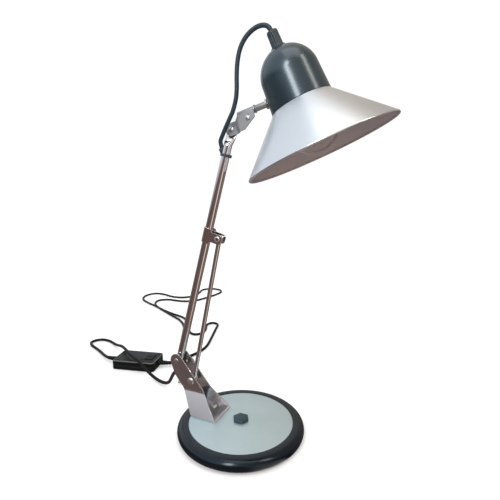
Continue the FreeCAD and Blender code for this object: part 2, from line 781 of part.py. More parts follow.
def entry_rod(radius, start, length):
    """A rod along the cord where it slants into the tube."""
    base = ENTRY_END + FreeCAD.Vector(ENTRY_RUN).normalize() * start
    return rod(radius, length, (base.x, base.y, base.z), ENTRY_RUN)


def add_cable_tie():
    """A moulded strap round the tube, with an eye for the cord and a lock on its other side."""
    low = s.tie_position - s.tie_wide / 2
    near = s.tube_radius + s.still_gap
    strap = rod(near + s.tie_sheet, s.tie_wide, (0, 0, low))
    lock = block(3.4, 4.4, s.tie_wide, (s.tube_radius - 0.6, -3.4, low))
    eye = entry_rod(s.cord_radius + 1.1, 5.0, 5.6)
    hollow = rod(near, 40, (0, 0, low - 20))
    way = entry_rod(s.cord_radius + s.still_gap, 0, 14)
    add_node("cable_tie", cut(join(strap, lock, eye), hollow, way), ARM_FRAME)


def add_wrist_rivet():
    near = s.wrist_sheet - s.tongue_side + s.washer_sheet + 3 * s.side_gap
    far = s.tongue_side + s.tongue_sheet + s.still_gap
    shank = rod(s.wrist_pin, near + far, (0, -near, s.arm_length), Y)
    near_head = domed_head(s.wrist_head, s.wrist_head_tall, (0, -near, s.arm_length), -Y)
    far_head = rod(s.wrist_head, 0.9, (0, far, s.arm_length), Y)
    add_node("wrist_rivet", join(shank, near_head, far_head), ARM_FRAME)


def add_wrist_washer():
    start = s.tongue_side - s.still_gap
    washer = ring(
        s.tongue_round - 0.4, s.wrist_pin + s.still_gap, s.washer_sheet, (0, start, s.arm_length), -Y)
    add_node("wrist_washer", washer, ARM_FRAME)


# ---------------------------------------------------------------- clip and brace
clip_inner = s.tube_radius + s.clip_gap
clip_outer = clip_inner + s.clip_sheet


def add_slide_clip():
    """A strap bent round the tube's back, its two ears reaching forward to the brace."""
    tip = s.clip_reach + s.ear_round
    corners = [
        (tip, clip_inner), (tip, clip_outer), (0, clip_outer, arc(0, 0)), (0, -clip_outer),
        (tip, -clip_outer), (tip, -clip_inner),
    ]
    strap = padded_body("XY_Plane", corners[:5] + [(tip, -clip_inner), (0, -clip_inner), (0, clip_inner)],
                        s.clip_long, -s.clip_long / 2)
    hollow = rod(clip_inner, s.clip_long, (0, 0, -s.clip_long / 2))
    blank = rod(s.ear_round, 4 * clip_outer, (s.clip_reach, -2 * clip_outer, 0), Y)
    web = block(s.clip_reach + clip_outer, 4 * clip_outer, s.clip_long,
                (-clip_outer, -2 * clip_outer, -s.clip_long / 2))
    hole = rod(s.clip_pin + s.still_gap, 4 * clip_outer, (s.clip_reach, -2 * clip_outer, 0), Y)
    chamfers = []
    for side in (-1, 1):
        wedge = block(s.clip_reach * 2, 4 * clip_outer, s.clip_long, (0, -2 * clip_outer, 0))
        lift = s.ear_round if side > 0 else -s.ear_round - s.clip_long
        wedge = move_to(wedge, (s.tube_radius + 1.5, -2 * clip_outer, lift))
        chamfers.append(wedge)
    add_node("slide_clip", cut(common(strap, join(blank, web)), hollow, hole, *chamfers), CLIP_FRAME)


def add_clip_rivet():
    half = clip_outer + s.still_gap
    x = s.clip_reach
    shank = rod(s.clip_pin, 2 * half, (x, -half, 0), Y)
    heads = [
        cone(s.clip_rivet_head, s.clip_rivet_head * 0.8, s.clip_rivet_head_tall,
             (x, side * half, 0), Y * side)
        for side in (-1, 1)
    ]
    reach = half + s.clip_rivet_head_tall
    bore = rod(s.clip_rivet_bore, 2 * reach, (x, -reach, 0), Y)
    add_node("clip_rivet", cut(join(shank, *heads), bore), CLIP_FRAME)


def add_clip_spacers():
    rings = []
    for side in (-1, 1):
        start = s.eye_thick / 2 + s.side_gap
        length = clip_inner - s.still_gap - start
        rings.append(ring(s.clip_rivet_head, s.clip_pin + s.still_gap, length,
                          (s.clip_reach, side * start, 0), Y * side))
    add_node("clip_spacers", group(*rings), CLIP_FRAME)


def add_brace_rod():
    half = s.eye_thick / 2
    shaft = rod(s.rod_radius, brace_length)
    lower = rod(s.eye_radius, s.eye_thick, (0, -half, 0), Y)
    upper = rod(s.eye_radius, s.eye_thick, (0, -half, brace_length), Y)
    holes = [
        rod(s.pin_radius + s.run_gap, 2 * s.eye_thick, (0, -s.eye_thick, 0), Y),
        rod(s.clip_pin + s.run_gap, 2 * s.eye_thick, (0, -s.eye_thick, brace_length), Y),
    ]
    add_node("brace_rod", cut(join(shaft, lower, upper), *holes), BRACE_FRAME)


# ---------------------------------------------------------------- wrist
sleeve_inner = s.spindle_radius + s.run_gap
sleeve_outer = sleeve_inner + s.sleeve_wall
sleeve_end = s.sleeve_start + s.sleeve_long
wrist_far = s.tongue_side - s.washer_sheet - s.side_gap - s.still_gap


def slab(outline, near, thick):
    """An upright slab of sheet from an (x, z) outline, its near face at -near."""
    wire = Part.makePolygon([point(x, -near, z) for x, z in outline + outline[:1]])
    return Part.Face(wire).extrude(FreeCAD.Vector(0, number(thick), 0))


def add_wrist_bracket():
    """A sheet link: a round end on the rivet, a step, then a plate with its top edge rolled into a sleeve."""
    sheet = number(s.wrist_sheet)
    near_low = sheet - number(wrist_far)
    near_high = number(sleeve_outer)
    fold, run, up = number(s.fold_at), number(s.fold_run), number(s.spindle_up)
    bottom, top = -number(s.wrist_round), number(s.wrist_round) - 0.4
    end, start = number(sleeve_end), number(s.sleeve_start)
    round_end = Part.makeCylinder(number(s.wrist_round), sheet, FreeCAD.Vector(0, -near_low, 0), Y)
    inner = slab([(0, bottom), (fold, bottom + 0.6), (fold, top), (0, top + 0.4)], near_low, sheet)
    step_outline = [
        FreeCAD.Vector(fold, -near_low, 0), FreeCAD.Vector(fold + run, -near_high, 0),
        FreeCAD.Vector(fold + run, -near_high + sheet, 0), FreeCAD.Vector(fold, -near_low + sheet, 0),
    ]
    step = Part.Face(Part.makePolygon(step_outline + step_outline[:1])).extrude(
        FreeCAD.Vector(0, 0, top + 2.4 - bottom))
    step.translate(FreeCAD.Vector(0, 0, bottom + 0.6))
    knee = fold + run
    outer = slab(
        [(knee, bottom + 0.6), (knee + 6.5, bottom + 0.9), (end, 3.4), (end, up), (start + 0.6, up),
         (knee, top + 2.6)], near_high, sheet)
    sleeve = Part.makeCylinder(number(sleeve_outer), end - start, FreeCAD.Vector(start, 0, up), X)
    bore = Part.makeCylinder(number(sleeve_inner), end, FreeCAD.Vector(0, 0, up), X)
    pin = Part.makeCylinder(number(s.wrist_pin + s.run_gap), 20, FreeCAD.Vector(0, -10, 0), Y)
    screw = Part.makeCylinder(1.6, 20, point(s.sleeve_start + 11.5, -10, s.spindle_up - 7.0), Y)
    shape = round_end.fuse([inner, step, outer, sleeve]).cut([bore, pin, screw])
    add_node("wrist_bracket", raw(shape.removeSplitter()), WRIST_FRAME)


def add_clamp_screw():
    """A small screw through the plate under the sleeve, which pinches the sleeve on the spindle."""
    x, z = s.sleeve_start + 11.5, s.spindle_up - 7.0
    near = sleeve_outer + s.still_gap
    shank = rod(1.5, 5.0, (x, -near, z), Y)
    head = cut(rod(2.7, 1.3, (x, -near - 1.3, z), Y), block(6, 0.7, 0.8, (x - 3, -near - 1.4, z - 0.4)))
    nut = cut(
        rod(2.7, 1.8, (x, -near + s.wrist_sheet + 0.1, z), Y),
        rod(1.55, 1.8, (x, -near + s.wrist_sheet + 0.1, z), Y))
    add_node("clamp_screw", join(head, shank), WRIST_FRAME)
    add_node("clamp_nut", nut, WRIST_FRAME)


def add_spindle():
    """The pin that turns in the sleeve and carries the head; it is fixed in the dome's wall."""
    start, end = s.sleeve_start + 0.4, s.head_reach - s.neck_radius + 9
    pin = rod(s.spindle_radius, end - start, (start, 0, 0), X)
    low = sleeve_end + s.side_gap + s.collar_long + s.still_gap
    high = s.head_reach - s.neck_radius - 2.5 - s.still_gap
    middle = rod(s.spindle_thick, high - low, (low, 0, 0), X)
    add_node("spindle", join(pin, middle), SPINDLE_FRAME)
    bore = s.spindle_radius + s.still_gap
    collar = ring(s.collar_radius, bore, s.collar_long, (sleeve_end + s.side_gap, 0, 0), X)
    add_node("spindle_collar", collar, SPINDLE_FRAME)


# ---------------------------------------------------------------- head, in its own frame: Z up its axis
neck_z = -s.neck_drop
mouth_z = neck_z - s.shade_tall
ball_z = neck_z + s.dome_ball_up


def dome_shell():
    """The dome's wall, whose inner arc runs the other way and is cut out as a second body."""
    out, inn = s.dome_ball, s.dome_ball - s.dome_wall
    outside = turned_body([
        (0, neck_z), (s.neck_radius, neck_z), (out, ball_z, arc(0, ball_z)), (0, ball_z + out)])
    inside = turned_body([
        (0, neck_z), (s.neck_radius - s.dome_wall, neck_z), (inn, ball_z, arc(0, ball_z)),
        (0, ball_z + inn)])
    return outside, inside


def spindle_tool(radius, start, length):
    """A rod along the spindle, in the head's frame, for holes and for what sits on the spindle."""
    tilt = turned(Y, s.head_cant)
    thing = document.addObject("Part::Cylinder", "spindle_tool")
    bind(thing, "Radius", radius)
    bind(thing, "Height", length)
    base = tilt.multVec(X) * number(start)
    thing.Placement = FreeCAD.Placement(base, tilt.multiply(FreeCAD.Rotation(Z, X)))
    return thing


def add_dome():
    outside, inside = dome_shell()
    top_hole = rod(s.grip_thread + s.still_gap, 20, (0, 0, ball_z + s.dome_ball - 10))
    side_hole = spindle_tool(s.spindle_radius + s.still_gap, -s.neck_radius - 5, 14)
    rivet_holes = [tool for tool in collar_rivets(s.rivet_radius + s.still_gap)]
    add_node("dome", cut(outside, inside, top_hole, side_hole, *rivet_holes), HEAD_FRAME)


def collar_rivets(radius):
    """Three short rods through the dome's skirt and the shade's collar."""
    rods = []
    for turn in (35.0, 95.0, 155.0):
        along = turned(Z, turn).multVec(X)
        start = along * (number(s.neck_radius) - 6.0)
        base = (start.x, start.y, neck_z + s.shade_collar * 0.55)
        rods.append(rod(radius, 6.5, base, along))
    return rods


def add_collar_rivets():
    add_node("collar_rivets", group(*collar_rivets(s.rivet_radius)), HEAD_FRAME)


def add_spindle_washers():
    """A dished washer outside the dome's wall and a nut inside it."""
    wall = s.neck_radius - 0.55
    bore = s.spindle_radius + s.still_gap
    outer = cut(spindle_tool(5.6, -wall - 3.0, 2.2), spindle_tool(bore, -wall - 4, 4))
    inner = cut(spindle_tool(5.2, -wall + s.dome_wall + 1.2, 3.6), spindle_tool(bore, -wall, 9))
    add_node("spindle_washer", outer, HEAD_FRAME)
    add_node("spindle_nut", inner, HEAD_FRAME)


def add_shade():
    """A spun cone with a rolled bead at its mouth and a short collar that goes up inside the dome."""
    wall, collar_r = s.shade_wall, s.neck_radius - s.dome_wall - 1.0
    collar_top = neck_z + s.shade_collar
    below = neck_z - s.still_gap
    inner_r = collar_r - wall
    corners = [
        (s.shade_radius, mouth_z),
        (s.neck_radius, below),
        (collar_r, below),
        (collar_r, collar_top),
        (inner_r, collar_top),
        (inner_r, below - wall),
        (s.neck_radius - wall * 0.4, below - wall),
        (s.shade_radius - wall * 1.4, mouth_z),
    ]
    cone_body = turned_body(corners[::-1])
    bead = document.addObject("Part::Torus", "bead")
    bind(bead, "Radius1", s.shade_radius - s.bead_radius)
    bind(bead, "Radius2", s.bead_radius)
    move_to(bead, (0, 0, mouth_z))
    shell = join(cone_body, bead)
    add_node("shade", cut(shell, *collar_rivets(s.rivet_radius + s.still_gap)), HEAD_FRAME)


holder_top = ball_z + s.holder_up
holder_bottom = holder_top - s.holder_tall
nipple_end = holder_top - 4.5
shell_top = holder_top - s.holder_floor - s.still_gap
cap_top = shell_top - 3.4
cap_bottom = cap_top - s.lamp_cap_tall
bulb_centre = mouth_z - s.bulb_tip_below + s.bulb_ball


def add_holder():
    """The lamp holder hangs from the cord grip's threaded tail."""
    skirt = rod(s.holder_radius, s.holder_tall - s.holder_shoulder, (0, 0, holder_bottom))
    shoulder_low = holder_top - s.holder_shoulder
    shoulder = cone(s.holder_radius, s.holder_neck, s.holder_shoulder, (0, 0, shoulder_low))
    room = rod(s.holder_radius - s.holder_wall, s.holder_tall - s.holder_floor, (0, 0, holder_bottom))
    socket = rod(s.grip_thread + s.still_gap, 5, (0, 0, nipple_end - s.still_gap))
    wire_way = rod(3.0, s.holder_tall, (0, 0, holder_bottom))
    add_node("lamp_holder", cut(join(skirt, shoulder), room, socket, wire_way), HEAD_FRAME)
    shell_long = s.holder_tall - s.holder_floor - 7
    inner = s.lamp_shell - s.lamp_shell_wall
    shell = ring(s.lamp_shell, inner, shell_long, (0, 0, shell_top - shell_long))
    add_node("holder_shell", shell, HEAD_FRAME)
    post = rod(2.95, 4.2, (0, 0, shell_top - 3.0))
    add_node("holder_contact", join(post, rod(4.0, 0.8, (0, 0, shell_top - 3.0))), HEAD_FRAME)


def bulb_outline(inset):
    """Half section of the bulb's glass, drawn in by an inset."""
    ball_r, low_neck, high_neck = s.bulb_ball - inset, 13.3 - inset, s.lamp_cap - 0.8 - inset
    top = cap_bottom + 4 - inset
    return [
        (0, bulb_centre - ball_r, arc(0, bulb_centre)),
        (ball_r * cosine(35.0), bulb_centre + ball_r * sine(35.0)),
        (low_neck, bulb_centre + 33.5),
        (high_neck, cap_bottom - 0.8),
        (high_neck, top),
        (0, top),
    ]


def add_bulb():
    """A clear bulb: a screw cap, a glass envelope, and the stem that carries the filament."""
    eyelet = cone(4.0, 9.0, 3.0, (0, 0, cap_top), -Z)
    cap = join(rod(s.lamp_cap, s.lamp_cap_tall - 3, (0, 0, cap_bottom)), eyelet)
    room = rod(s.lamp_cap - 0.4, s.lamp_cap_tall - 4, (0, 0, cap_bottom))
    add_node("bulb_cap", cut(cap, room), HEAD_FRAME)
    glass = cut(turned_body(bulb_outline(0)), turned_body(bulb_outline(0.8)))
    add_node("bulb_glass", glass, HEAD_FRAME)
    stem_top, foot = cap_bottom + 3.2 - s.still_gap, bulb_centre + 6
    flare = cone(2.2, 7.0, 9.0, (0, 0, stem_top - 9.0))
    post = rod(2.2, stem_top - 8 - foot, (0, 0, foot))
    wires = [rod(0.4, 16, (0, 0, foot + 1), FreeCAD.Vector(side, 0, -0.25)) for side in (-1, 1)]
    add_node("bulb_stem", join(flare, post, *wires), HEAD_FRAME)


def add_cord_grip():
    """The moulded grip on top of the dome: a barrel, a flange, and a threaded tail with its nut."""
    seat = ball_z + root(s.dome_ball * s.dome_ball - s.grip_flange * s.grip_flange) + 0.35
    shoulder = seat + s.grip_flange_tall
    flange = cut(rod(s.grip_flange, s.grip_flange_tall + 0.3, (0, 0, seat - 0.3)),
                 ball(s.dome_ball + s.still_gap, (0, 0, ball_z)))
    barrel = cone(s.grip_radius + 0.5, s.grip_radius, s.grip_tall, (0, 0, shoulder))
    tail = rod(s.grip_thread, shoulder + 1 - nipple_end, (0, 0, nipple_end))
    bore = rod(s.grip_bore, 60, (0, 0, seat - 20))
    add_node("cord_grip", cut(join(flange, barrel, tail), bore), HEAD_FRAME)
    nut_bottom = holder_top + s.still_gap
    nut = hexagon(Size(13.0, "13"), 2.8, (0, 0, nut_bottom))
    thread = rod(s.grip_thread + s.still_gap, 6, (0, 0, nut_bottom - 1))
    add_node("grip_nut", cut(nut, thread), HEAD_FRAME)


# ---------------------------------------------------------------- cords
def cord_path(name, route):
    """Straight runs joined by tangent arcs, each as large as its two runs allow."""
    points = [FreeCAD.Vector(*place) for place in route]
    edges, start, radii = [], points[0], []
    for before, corner, after in zip(points, points[1:], points[2:]):
        run_in, run_out = corner - before, after - corner
        turn = run_in.getAngle(run_out)
        trim = 0.45 * min(run_in.Length, run_out.Length)
        radii.append(trim / math.tan(turn / 2))
        enter = corner - FreeCAD.Vector(run_in).normalize() * trim
        leave = corner + FreeCAD.Vector(run_out).normalize() * trim
        inside = ((enter + leave) * 0.5 - corner).normalize()
        middle = corner + inside * (radii[-1] / math.cos(turn / 2) - radii[-1])
        edges.append(Part.LineSegment(start, enter).toShape())
        edges.append(Part.Arc(enter, middle, leave).toShape())
        start = leave
    edges.append(Part.LineSegment(start, points[-1]).toShape())
    print(name, "radii", " ".join("%.0f" % radius for radius in radii))
    return Part.Wire(edges)


def cord_tube(name, route):
    """A plain tube along a cord's path, its volume compared with its section times its length."""
    radius = number(s.cord_radius)
    wire = cord_path(name, route)
    direction = wire.Edges[0].tangentAt(wire.Edges[0].FirstParameter)
    section = Part.Wire(Part.Circle(FreeCAD.Vector(*route[0]), direction, radius).toShape())
    tube = wire.makePipeShell([section], True, True)
    expected = math.pi * radius ** 2 * wire.Length
    print(name, "length %.0f volume ratio %.4f" % (wire.Length, tube.Volume / expected))
    return tube


def add_cords():
    for name, route in (("head_cord_upper", UPPER_CORD_ROUTE), ("head_cord_lower", LOWER_CORD_ROUTE),
                        ("lamp_lead", LAMP_LEAD_ROUTE), ("mains_lead", MAINS_LEAD_ROUTE)):
        add_node(name, raw(cord_tube(name, route)))
    hidden = rod(s.cord_radius, s.tie_position - 4.8, (0, 0, 1))
    add_node("arm_cord", hidden, ARM_FRAME)


# ---------------------------------------------------------------- switch on the lead
def switch_screw_places():
    reach_x, reach_y = s.switch_long / 2 - 12, s.switch_wide / 2 - 8
    return [(across * reach_x, along * reach_y) for across in (-1, 1) for along in (-1, 1)]


def switch_entries():
    """Rods along the lead where it passes the two end walls."""
    start, length = s.switch_long / 2 - 2 * s.switch_wall, 4 * s.switch_wall
    return [rod(s.cord_radius + 0.6, length, (side * start, 0, s.switch_split), X * side)
            for side in (-1, 1)]


def switch_half(height, floor):
    """One half of the switch's shell, before it is hollowed."""
    body = padded_body("XY_Plane", rectangle(s.switch_long, s.switch_wide), height, floor)
    return round_edges(body, s.switch_corner, upright)


def switch_room(height, floor):
    wall = s.switch_wall
    long, wide = s.switch_long - 2 * wall, s.switch_wide - 2 * wall
    return block(long, wide, height, (-long / 2, -wide / 2, floor))


def add_switch_base():
    wall, split = s.switch_wall, s.switch_split
    shell = cut(switch_half(split - s.still_gap, Size(0.0, "0")), switch_room(split, wall))
    posts = [rod(2.6, split - 2 * s.still_gap - 1, (x, y, 1)) for x, y in switch_screw_places()]
    holes = [rod(1.3, split, (x, y, 0)) for x, y in switch_screw_places()]
    sinks = [rod(2.6, 1.6, (x, y, 0)) for x, y in switch_screw_places()]
    add_node("switch_base", cut(join(shell, *posts), *switch_entries(), *holes, *sinks), SWITCH_FRAME)
    screws = [join(rod(2.4, 1.2, (x, y, 0.3)), rod(1.25, split + 3, (x, y, 0.3)))
              for x, y in switch_screw_places()]
    add_node("switch_screws", group(*screws), SWITCH_FRAME)


axle_up = s.switch_tall - 3.5
rocker_start = s.rocker_from_middle - s.rocker_long / 2


def rocker_bearings():
    """Two lugs under the cover, with a hole for the rocker's axle."""
    lugs = []
    for start in (rocker_start - 2.0, rocker_start + s.rocker_long + 0.4):
        lugs.append(block(1.6, 6.0, s.switch_tall - axle_up + 0.5, (start, -3.0, axle_up - 2.0)))
    return lugs


def add_switch_cover():
    split, tall = s.switch_split, s.switch_tall
    body = switch_half(tall - split, split)
    round_edges(body, Size(1.6, "1.6"), lambda edge: edge.BoundBox.ZMin > number(s.switch_tall) - 0.01)
    shell = cut(body, switch_room(tall - split - s.switch_wall, split))
    posts = [rod(2.6, tall - split - 1.5, (x, y, split)) for x, y in switch_screw_places()]
    holes = [rod(1.3, split, (x, y, split - 4.6)) for x, y in switch_screw_places()]
    window = block(s.rocker_long + 0.6, s.rocker_wide + 0.6, 3 * s.switch_wall,
                   (rocker_start - 0.3, -s.rocker_wide / 2 - 0.3, tall - s.switch_wall - 0.5))
    axle_hole = rod(1.2 + s.run_gap, s.rocker_long + 12, (rocker_start - 6, 0, axle_up), X)
    cover = cut(join(shell, *posts, *rocker_bearings()), window, axle_hole, *switch_entries(), *holes)
    add_node("switch_cover", cover, SWITCH_FRAME)


def add_rocker():
    """A rocker that tips about a small axle under the switch's cover."""
    long, wide = s.rocker_long, s.rocker_wide
    top, crown = s.switch_tall + s.rocker_proud, s.rocker_wide * 0.9
    cap = block(long, wide, top - axle_up - 2.2, (rocker_start, -wide / 2, axle_up + 2.2))
    crest = common(cap, rod(crown, long + 2, (rocker_start - 1, 0, top - crown), X))
    stem = block(long - 3, 5, 3.6, (rocker_start + 1.5, -2.5, axle_up - 1.2))
    axle = rod(1.2, long + 4, (rocker_start - 2, 0, axle_up), X)
    add_node("switch_rocker", join(crest, stem, axle), SWITCH_FRAME)
    contacts = block(5, 8, axle_up - s.switch_wall - 1.9,
                     (s.rocker_from_middle - 2.5, -4, s.switch_wall + s.still_gap))
    add_node("switch_contacts", contacts, SWITCH_FRAME)


def add_reliefs():
    """Soft collars where the lead enters and leaves the switch."""
    collars = []
    for side in (-1, 1):
        start, along = s.switch_long / 2 + s.still_gap, X * side
        foot = (side * start, 0, s.switch_split)
        sleeve = cone(s.relief_radius, s.cord_radius + 1.1, s.relief_long, foot, along)
        bore = rod(s.cord_radius + 0.3, s.relief_long + 2, (side * (start - 1), 0, s.switch_split), along)
        collars.append(cut(sleeve, bore))
    add_node("switch_reliefs", group(*collars), SWITCH_FRAME)


# ---------------------------------------------------------------- plug
def add_plug():
    """A flat two-pin plug, lying on its side face."""
    half_w, tail_w = s.plug_wide / 2, s.plug_wide / 2 * 0.55
    long = s.plug_long
    corners = [
        (0, -tail_w), (long * 0.45, -half_w), (long, -half_w),
        (long, half_w), (long * 0.45, half_w), (0, tail_w)]
    body = padded_body("XY_Plane", corners, s.plug_thick)
    round_edges(body, Size(3.0, "3"), upright)
    round_edges(body, Size(2.0, "2"), lambda edge: not upright(edge)
                and (edge.BoundBox.ZMax < 0.01 or edge.BoundBox.ZMin > number(s.plug_thick) - 0.01))
    middle = s.plug_thick / 2
    shank = s.plug_pin_radius - 0.25
    holes = [rod(shank + s.still_gap, 12, (long - 10, side * s.plug_pin_apart / 2, middle), X)
             for side in (-1, 1)]
    add_node("plug_body", cut(body, *holes), PLUG_FRAME)
    pins = []
    for side in (-1, 1):
        y = side * s.plug_pin_apart / 2
        pins.append(join(rod(shank, 12, (long - 8, y, middle), X),
                         rod(s.plug_pin_radius, s.plug_pin_long - 4, (long + 3, y, middle), X),
                         ball(s.plug_pin_radius, (long - 1 + s.plug_pin_long, y, middle))))
    add_node("plug_pins", group(*pins), PLUG_FRAME)
    tail = cone(s.cord_radius + 1.1, s.relief_radius + 0.6, s.relief_long,
                (-s.relief_long - s.still_gap, 0, middle), X)
    bore = rod(s.cord_radius + 0.3, s.relief_long * 2, (-s.relief_long * 2, 0, middle), X)
    add_node("plug_relief", cut(tail, bore), PLUG_FRAME)


# ---------------------------------------------------------------- make everything, check it and write it
def build():
    for step in (
        add_base_ring, add_base_plate, add_base_weight, add_foot_pad, add_centre_bolt, add_bracket,
        add_bracket_screws, add_arm_pins, add_pivot_spacers, add_brace_rivet, add_arm_tube, add_tube_bush,
        add_cable_tie, add_wrist_rivet, add_wrist_washer, add_slide_clip, add_clip_rivet, add_clip_spacers,
        add_brace_rod, add_wrist_bracket, add_clamp_screw, add_spindle, add_dome, add_collar_rivets,
        add_spindle_washers, add_shade, add_holder, add_bulb,
        add_cord_grip, add_cords, add_switch_base, add_switch_cover, add_rocker, add_reliefs, add_plug,
    ):
        step()
    document.recompute()


def check():
    for thing in document.Objects:
        if "Invalid" in thing.State or "Error" in thing.State:
            raise RuntimeError("%s (%s) failed: %s" % (thing.Name, thing.Label, thing.State))
    for node in nodes:
        if node.Shape.isNull() or not node.Shape.isValid() or not node.Shape.Solids:
            raise RuntimeError("%s has no valid solid" % node.Label)


def write():
    os.makedirs("parts", exist_ok=True)
    for node in nodes:
        node.Shape.exportStep("parts/%s.step" % node.Label)
    print(len(nodes), "nodes")


build()
check()
write()
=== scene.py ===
import json
import math
import bpy
import bmesh
from mathutils import Matrix, Vector


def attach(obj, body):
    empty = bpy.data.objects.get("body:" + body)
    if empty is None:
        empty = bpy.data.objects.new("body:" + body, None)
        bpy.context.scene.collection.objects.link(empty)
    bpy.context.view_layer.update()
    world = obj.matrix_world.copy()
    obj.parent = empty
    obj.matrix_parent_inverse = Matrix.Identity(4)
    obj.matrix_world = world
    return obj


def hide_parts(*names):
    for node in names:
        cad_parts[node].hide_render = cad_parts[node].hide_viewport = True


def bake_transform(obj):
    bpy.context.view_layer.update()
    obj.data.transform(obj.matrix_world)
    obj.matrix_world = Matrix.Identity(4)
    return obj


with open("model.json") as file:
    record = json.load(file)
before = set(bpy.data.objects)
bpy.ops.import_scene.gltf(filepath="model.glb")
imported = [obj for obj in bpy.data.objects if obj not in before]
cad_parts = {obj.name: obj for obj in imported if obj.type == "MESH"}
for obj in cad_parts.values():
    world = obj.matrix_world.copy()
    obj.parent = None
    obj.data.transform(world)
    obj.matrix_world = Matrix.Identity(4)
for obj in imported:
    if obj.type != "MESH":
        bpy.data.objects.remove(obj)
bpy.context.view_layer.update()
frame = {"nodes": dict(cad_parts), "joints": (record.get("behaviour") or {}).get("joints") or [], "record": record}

MM = 0.001
SMALL = Matrix.Scale(MM, 4)
JOINTS = {joint["name"]: joint for joint in frame["joints"]}


# ---------------------------------------------------------------- places
def turned(axis, degrees):
    return Matrix.Rotation(math.radians(degrees), 4, axis)


def at_joint(name):
    return Matrix.Translation(JOINTS[name]["pos_m"])


def lean_between(low, high):
    """Degrees from upright, forward, of the line from one joint to another."""
    run = Vector(JOINTS[high]["pos_m"]) - Vector(JOINTS[low]["pos_m"])
    return math.degrees(math.atan2(run.x, run.z))


ARM_LEAN = 15.2        # degrees from upright
ARM_LENGTH = 303       # from the bracket's pivot to the wrist rivet
CLIP_HEIGHT = 175.3    # up the tube
SPINDLE_UP = 11.84     # from the wrist rivet to the spindle's axis
HEAD_TURN = 6.1        # degrees that the head is turned about the spindle
HEAD_CANT = 8.2        # degrees from square between the spindle and the head
SWITCH_TURN = 14.3
PLUG_TURN = -68.0
spindle_axis = JOINTS["head_swivel"]["axis"]
SPINDLE_RISE = math.degrees(math.atan2(spindle_axis[2], spindle_axis[0]))
ROW = SMALL
ARM = at_joint("arm_tilt") @ turned("Y", ARM_LEAN) @ SMALL
BRACE = at_joint("brace_tilt") @ turned("Y", lean_between("brace_tilt", "clip_turn")) @ SMALL
CLIP = ARM @ Matrix.Translation((0, 0, CLIP_HEIGHT))
WRIST = at_joint("wrist_tilt") @ turned("Y", -SPINDLE_RISE) @ SMALL
SPINDLE = WRIST @ Matrix.Translation((0, 0, SPINDLE_UP))
HEAD = (at_joint("head_swivel") @ turned("Y", -SPINDLE_RISE) @ turned("X", HEAD_TURN)
        @ turned("Y", -HEAD_CANT) @ SMALL)
SWITCH = Matrix.Translation((-0.248, 0.0955, 0)) @ turned("Z", SWITCH_TURN) @ SMALL
PLUG = Matrix.Translation((-0.1498, 0.1157, 0)) @ turned("Z", PLUG_TURN) @ SMALL
NEAR = turned("X", 90)        # a lathe's axis laid towards the near side
FAR = turned("X", -90)        # and towards the far side
FORWARD = turned("Y", 90)     # and forward


# ---------------------------------------------------------------- shader tools
class Wire:
    """A shader socket with arithmetic. Each operation adds its Math node."""

    def __init__(self, tree, socket):
        self.tree = tree
        self.socket = socket

    def math(self, operation, *terms):
        node = self.tree.nodes.new("ShaderNodeMath")
        node.operation = operation
        for slot, term in zip(node.inputs, terms):
            if isinstance(term, Wire):
                self.tree.links.new(term.socket, slot)
            else:
                slot.default_value = term
        return Wire(self.tree, node.outputs[0])

    def __add__(self, other):
        return self.math("ADD", self, other)

    def __sub__(self, other):
        return self.math("SUBTRACT", self, other)

    def __rsub__(self, other):
        return self.math("SUBTRACT", other, self)

    def __mul__(self, other):
        return self.math("MULTIPLY", self, other)

    def __truediv__(self, other):
        return self.math("DIVIDE", self, other)

    __radd__ = __add__
    __rmul__ = __mul__


def fill_ramp(ramp, stops):
    while len(ramp.elements) < len(stops):
        ramp.elements.new(0.5)
    for element, (place, color) in zip(ramp.elements, stops):
        element.position = place
        element.color = (*color, 1)


class Finish:
    """A material: its main shader, and one method that adds any other node."""

    def __init__(self, name, color, **sockets):
        self.material = bpy.data.materials.new(name)
        self.material.use_nodes = True
        self.tree = self.material.node_tree
        self.shader = self.tree.nodes["Principled BSDF"]
        self.material.diffuse_color = (*color, 1)
        self.put("Base Color", (*color, 1))
        for socket, value in sockets.items():
            self.put(socket.replace("_", " "), value)

    def put(self, socket, value):
        if isinstance(value, Wire):
            self.tree.links.new(value.socket, self.shader.inputs[socket])
        else:
            self.shader.inputs[socket].default_value = value

    def node(self, kind, settings=None, inputs=None, output=0):
        made = self.tree.nodes.new(kind)
        for name, value in (settings or {}).items():
            if name == "stops":
                fill_ramp(made.color_ramp, value)
            else:
                setattr(made, name, value)
        for name, value in (inputs or {}).items():
            if isinstance(value, Wire):
                self.tree.links.new(value.socket, made.inputs[name])
            else:
                made.inputs[name].default_value = value
        return Wire(self.tree, made.outputs[output])

    def place(self):
        return self.node("ShaderNodeTexCoord", output=3)

    def noise(self, scale, detail=3.0, roughness=0.55):
        return self.node("ShaderNodeTexNoise", inputs={
            "Vector": self.place(), "Scale": scale, "Detail": detail, "Roughness": roughness})

    def spread(self, value, low, high):
        """A noise value, spread out to run from low to high."""
        return self.node("ShaderNodeMapRange", inputs={
            "Value": value, "From Min": 0.3, "From Max": 0.7, "To Min": low, "To Max": high})

    def tint(self, factor, first, second):
        colors = {0: factor, 6: (*first, 1), 7: (*second, 1)}
        return self.node("ShaderNodeMix", {"data_type": "RGBA"}, colors, 2)

    def bump(self, height, depth, strength=1.0):
        self.put("Normal", self.node("ShaderNodeBump", inputs={
            "Height": height, "Distance": depth, "Strength": strength}))


FINISHES = {}
METAL_GRAIN = 900.0


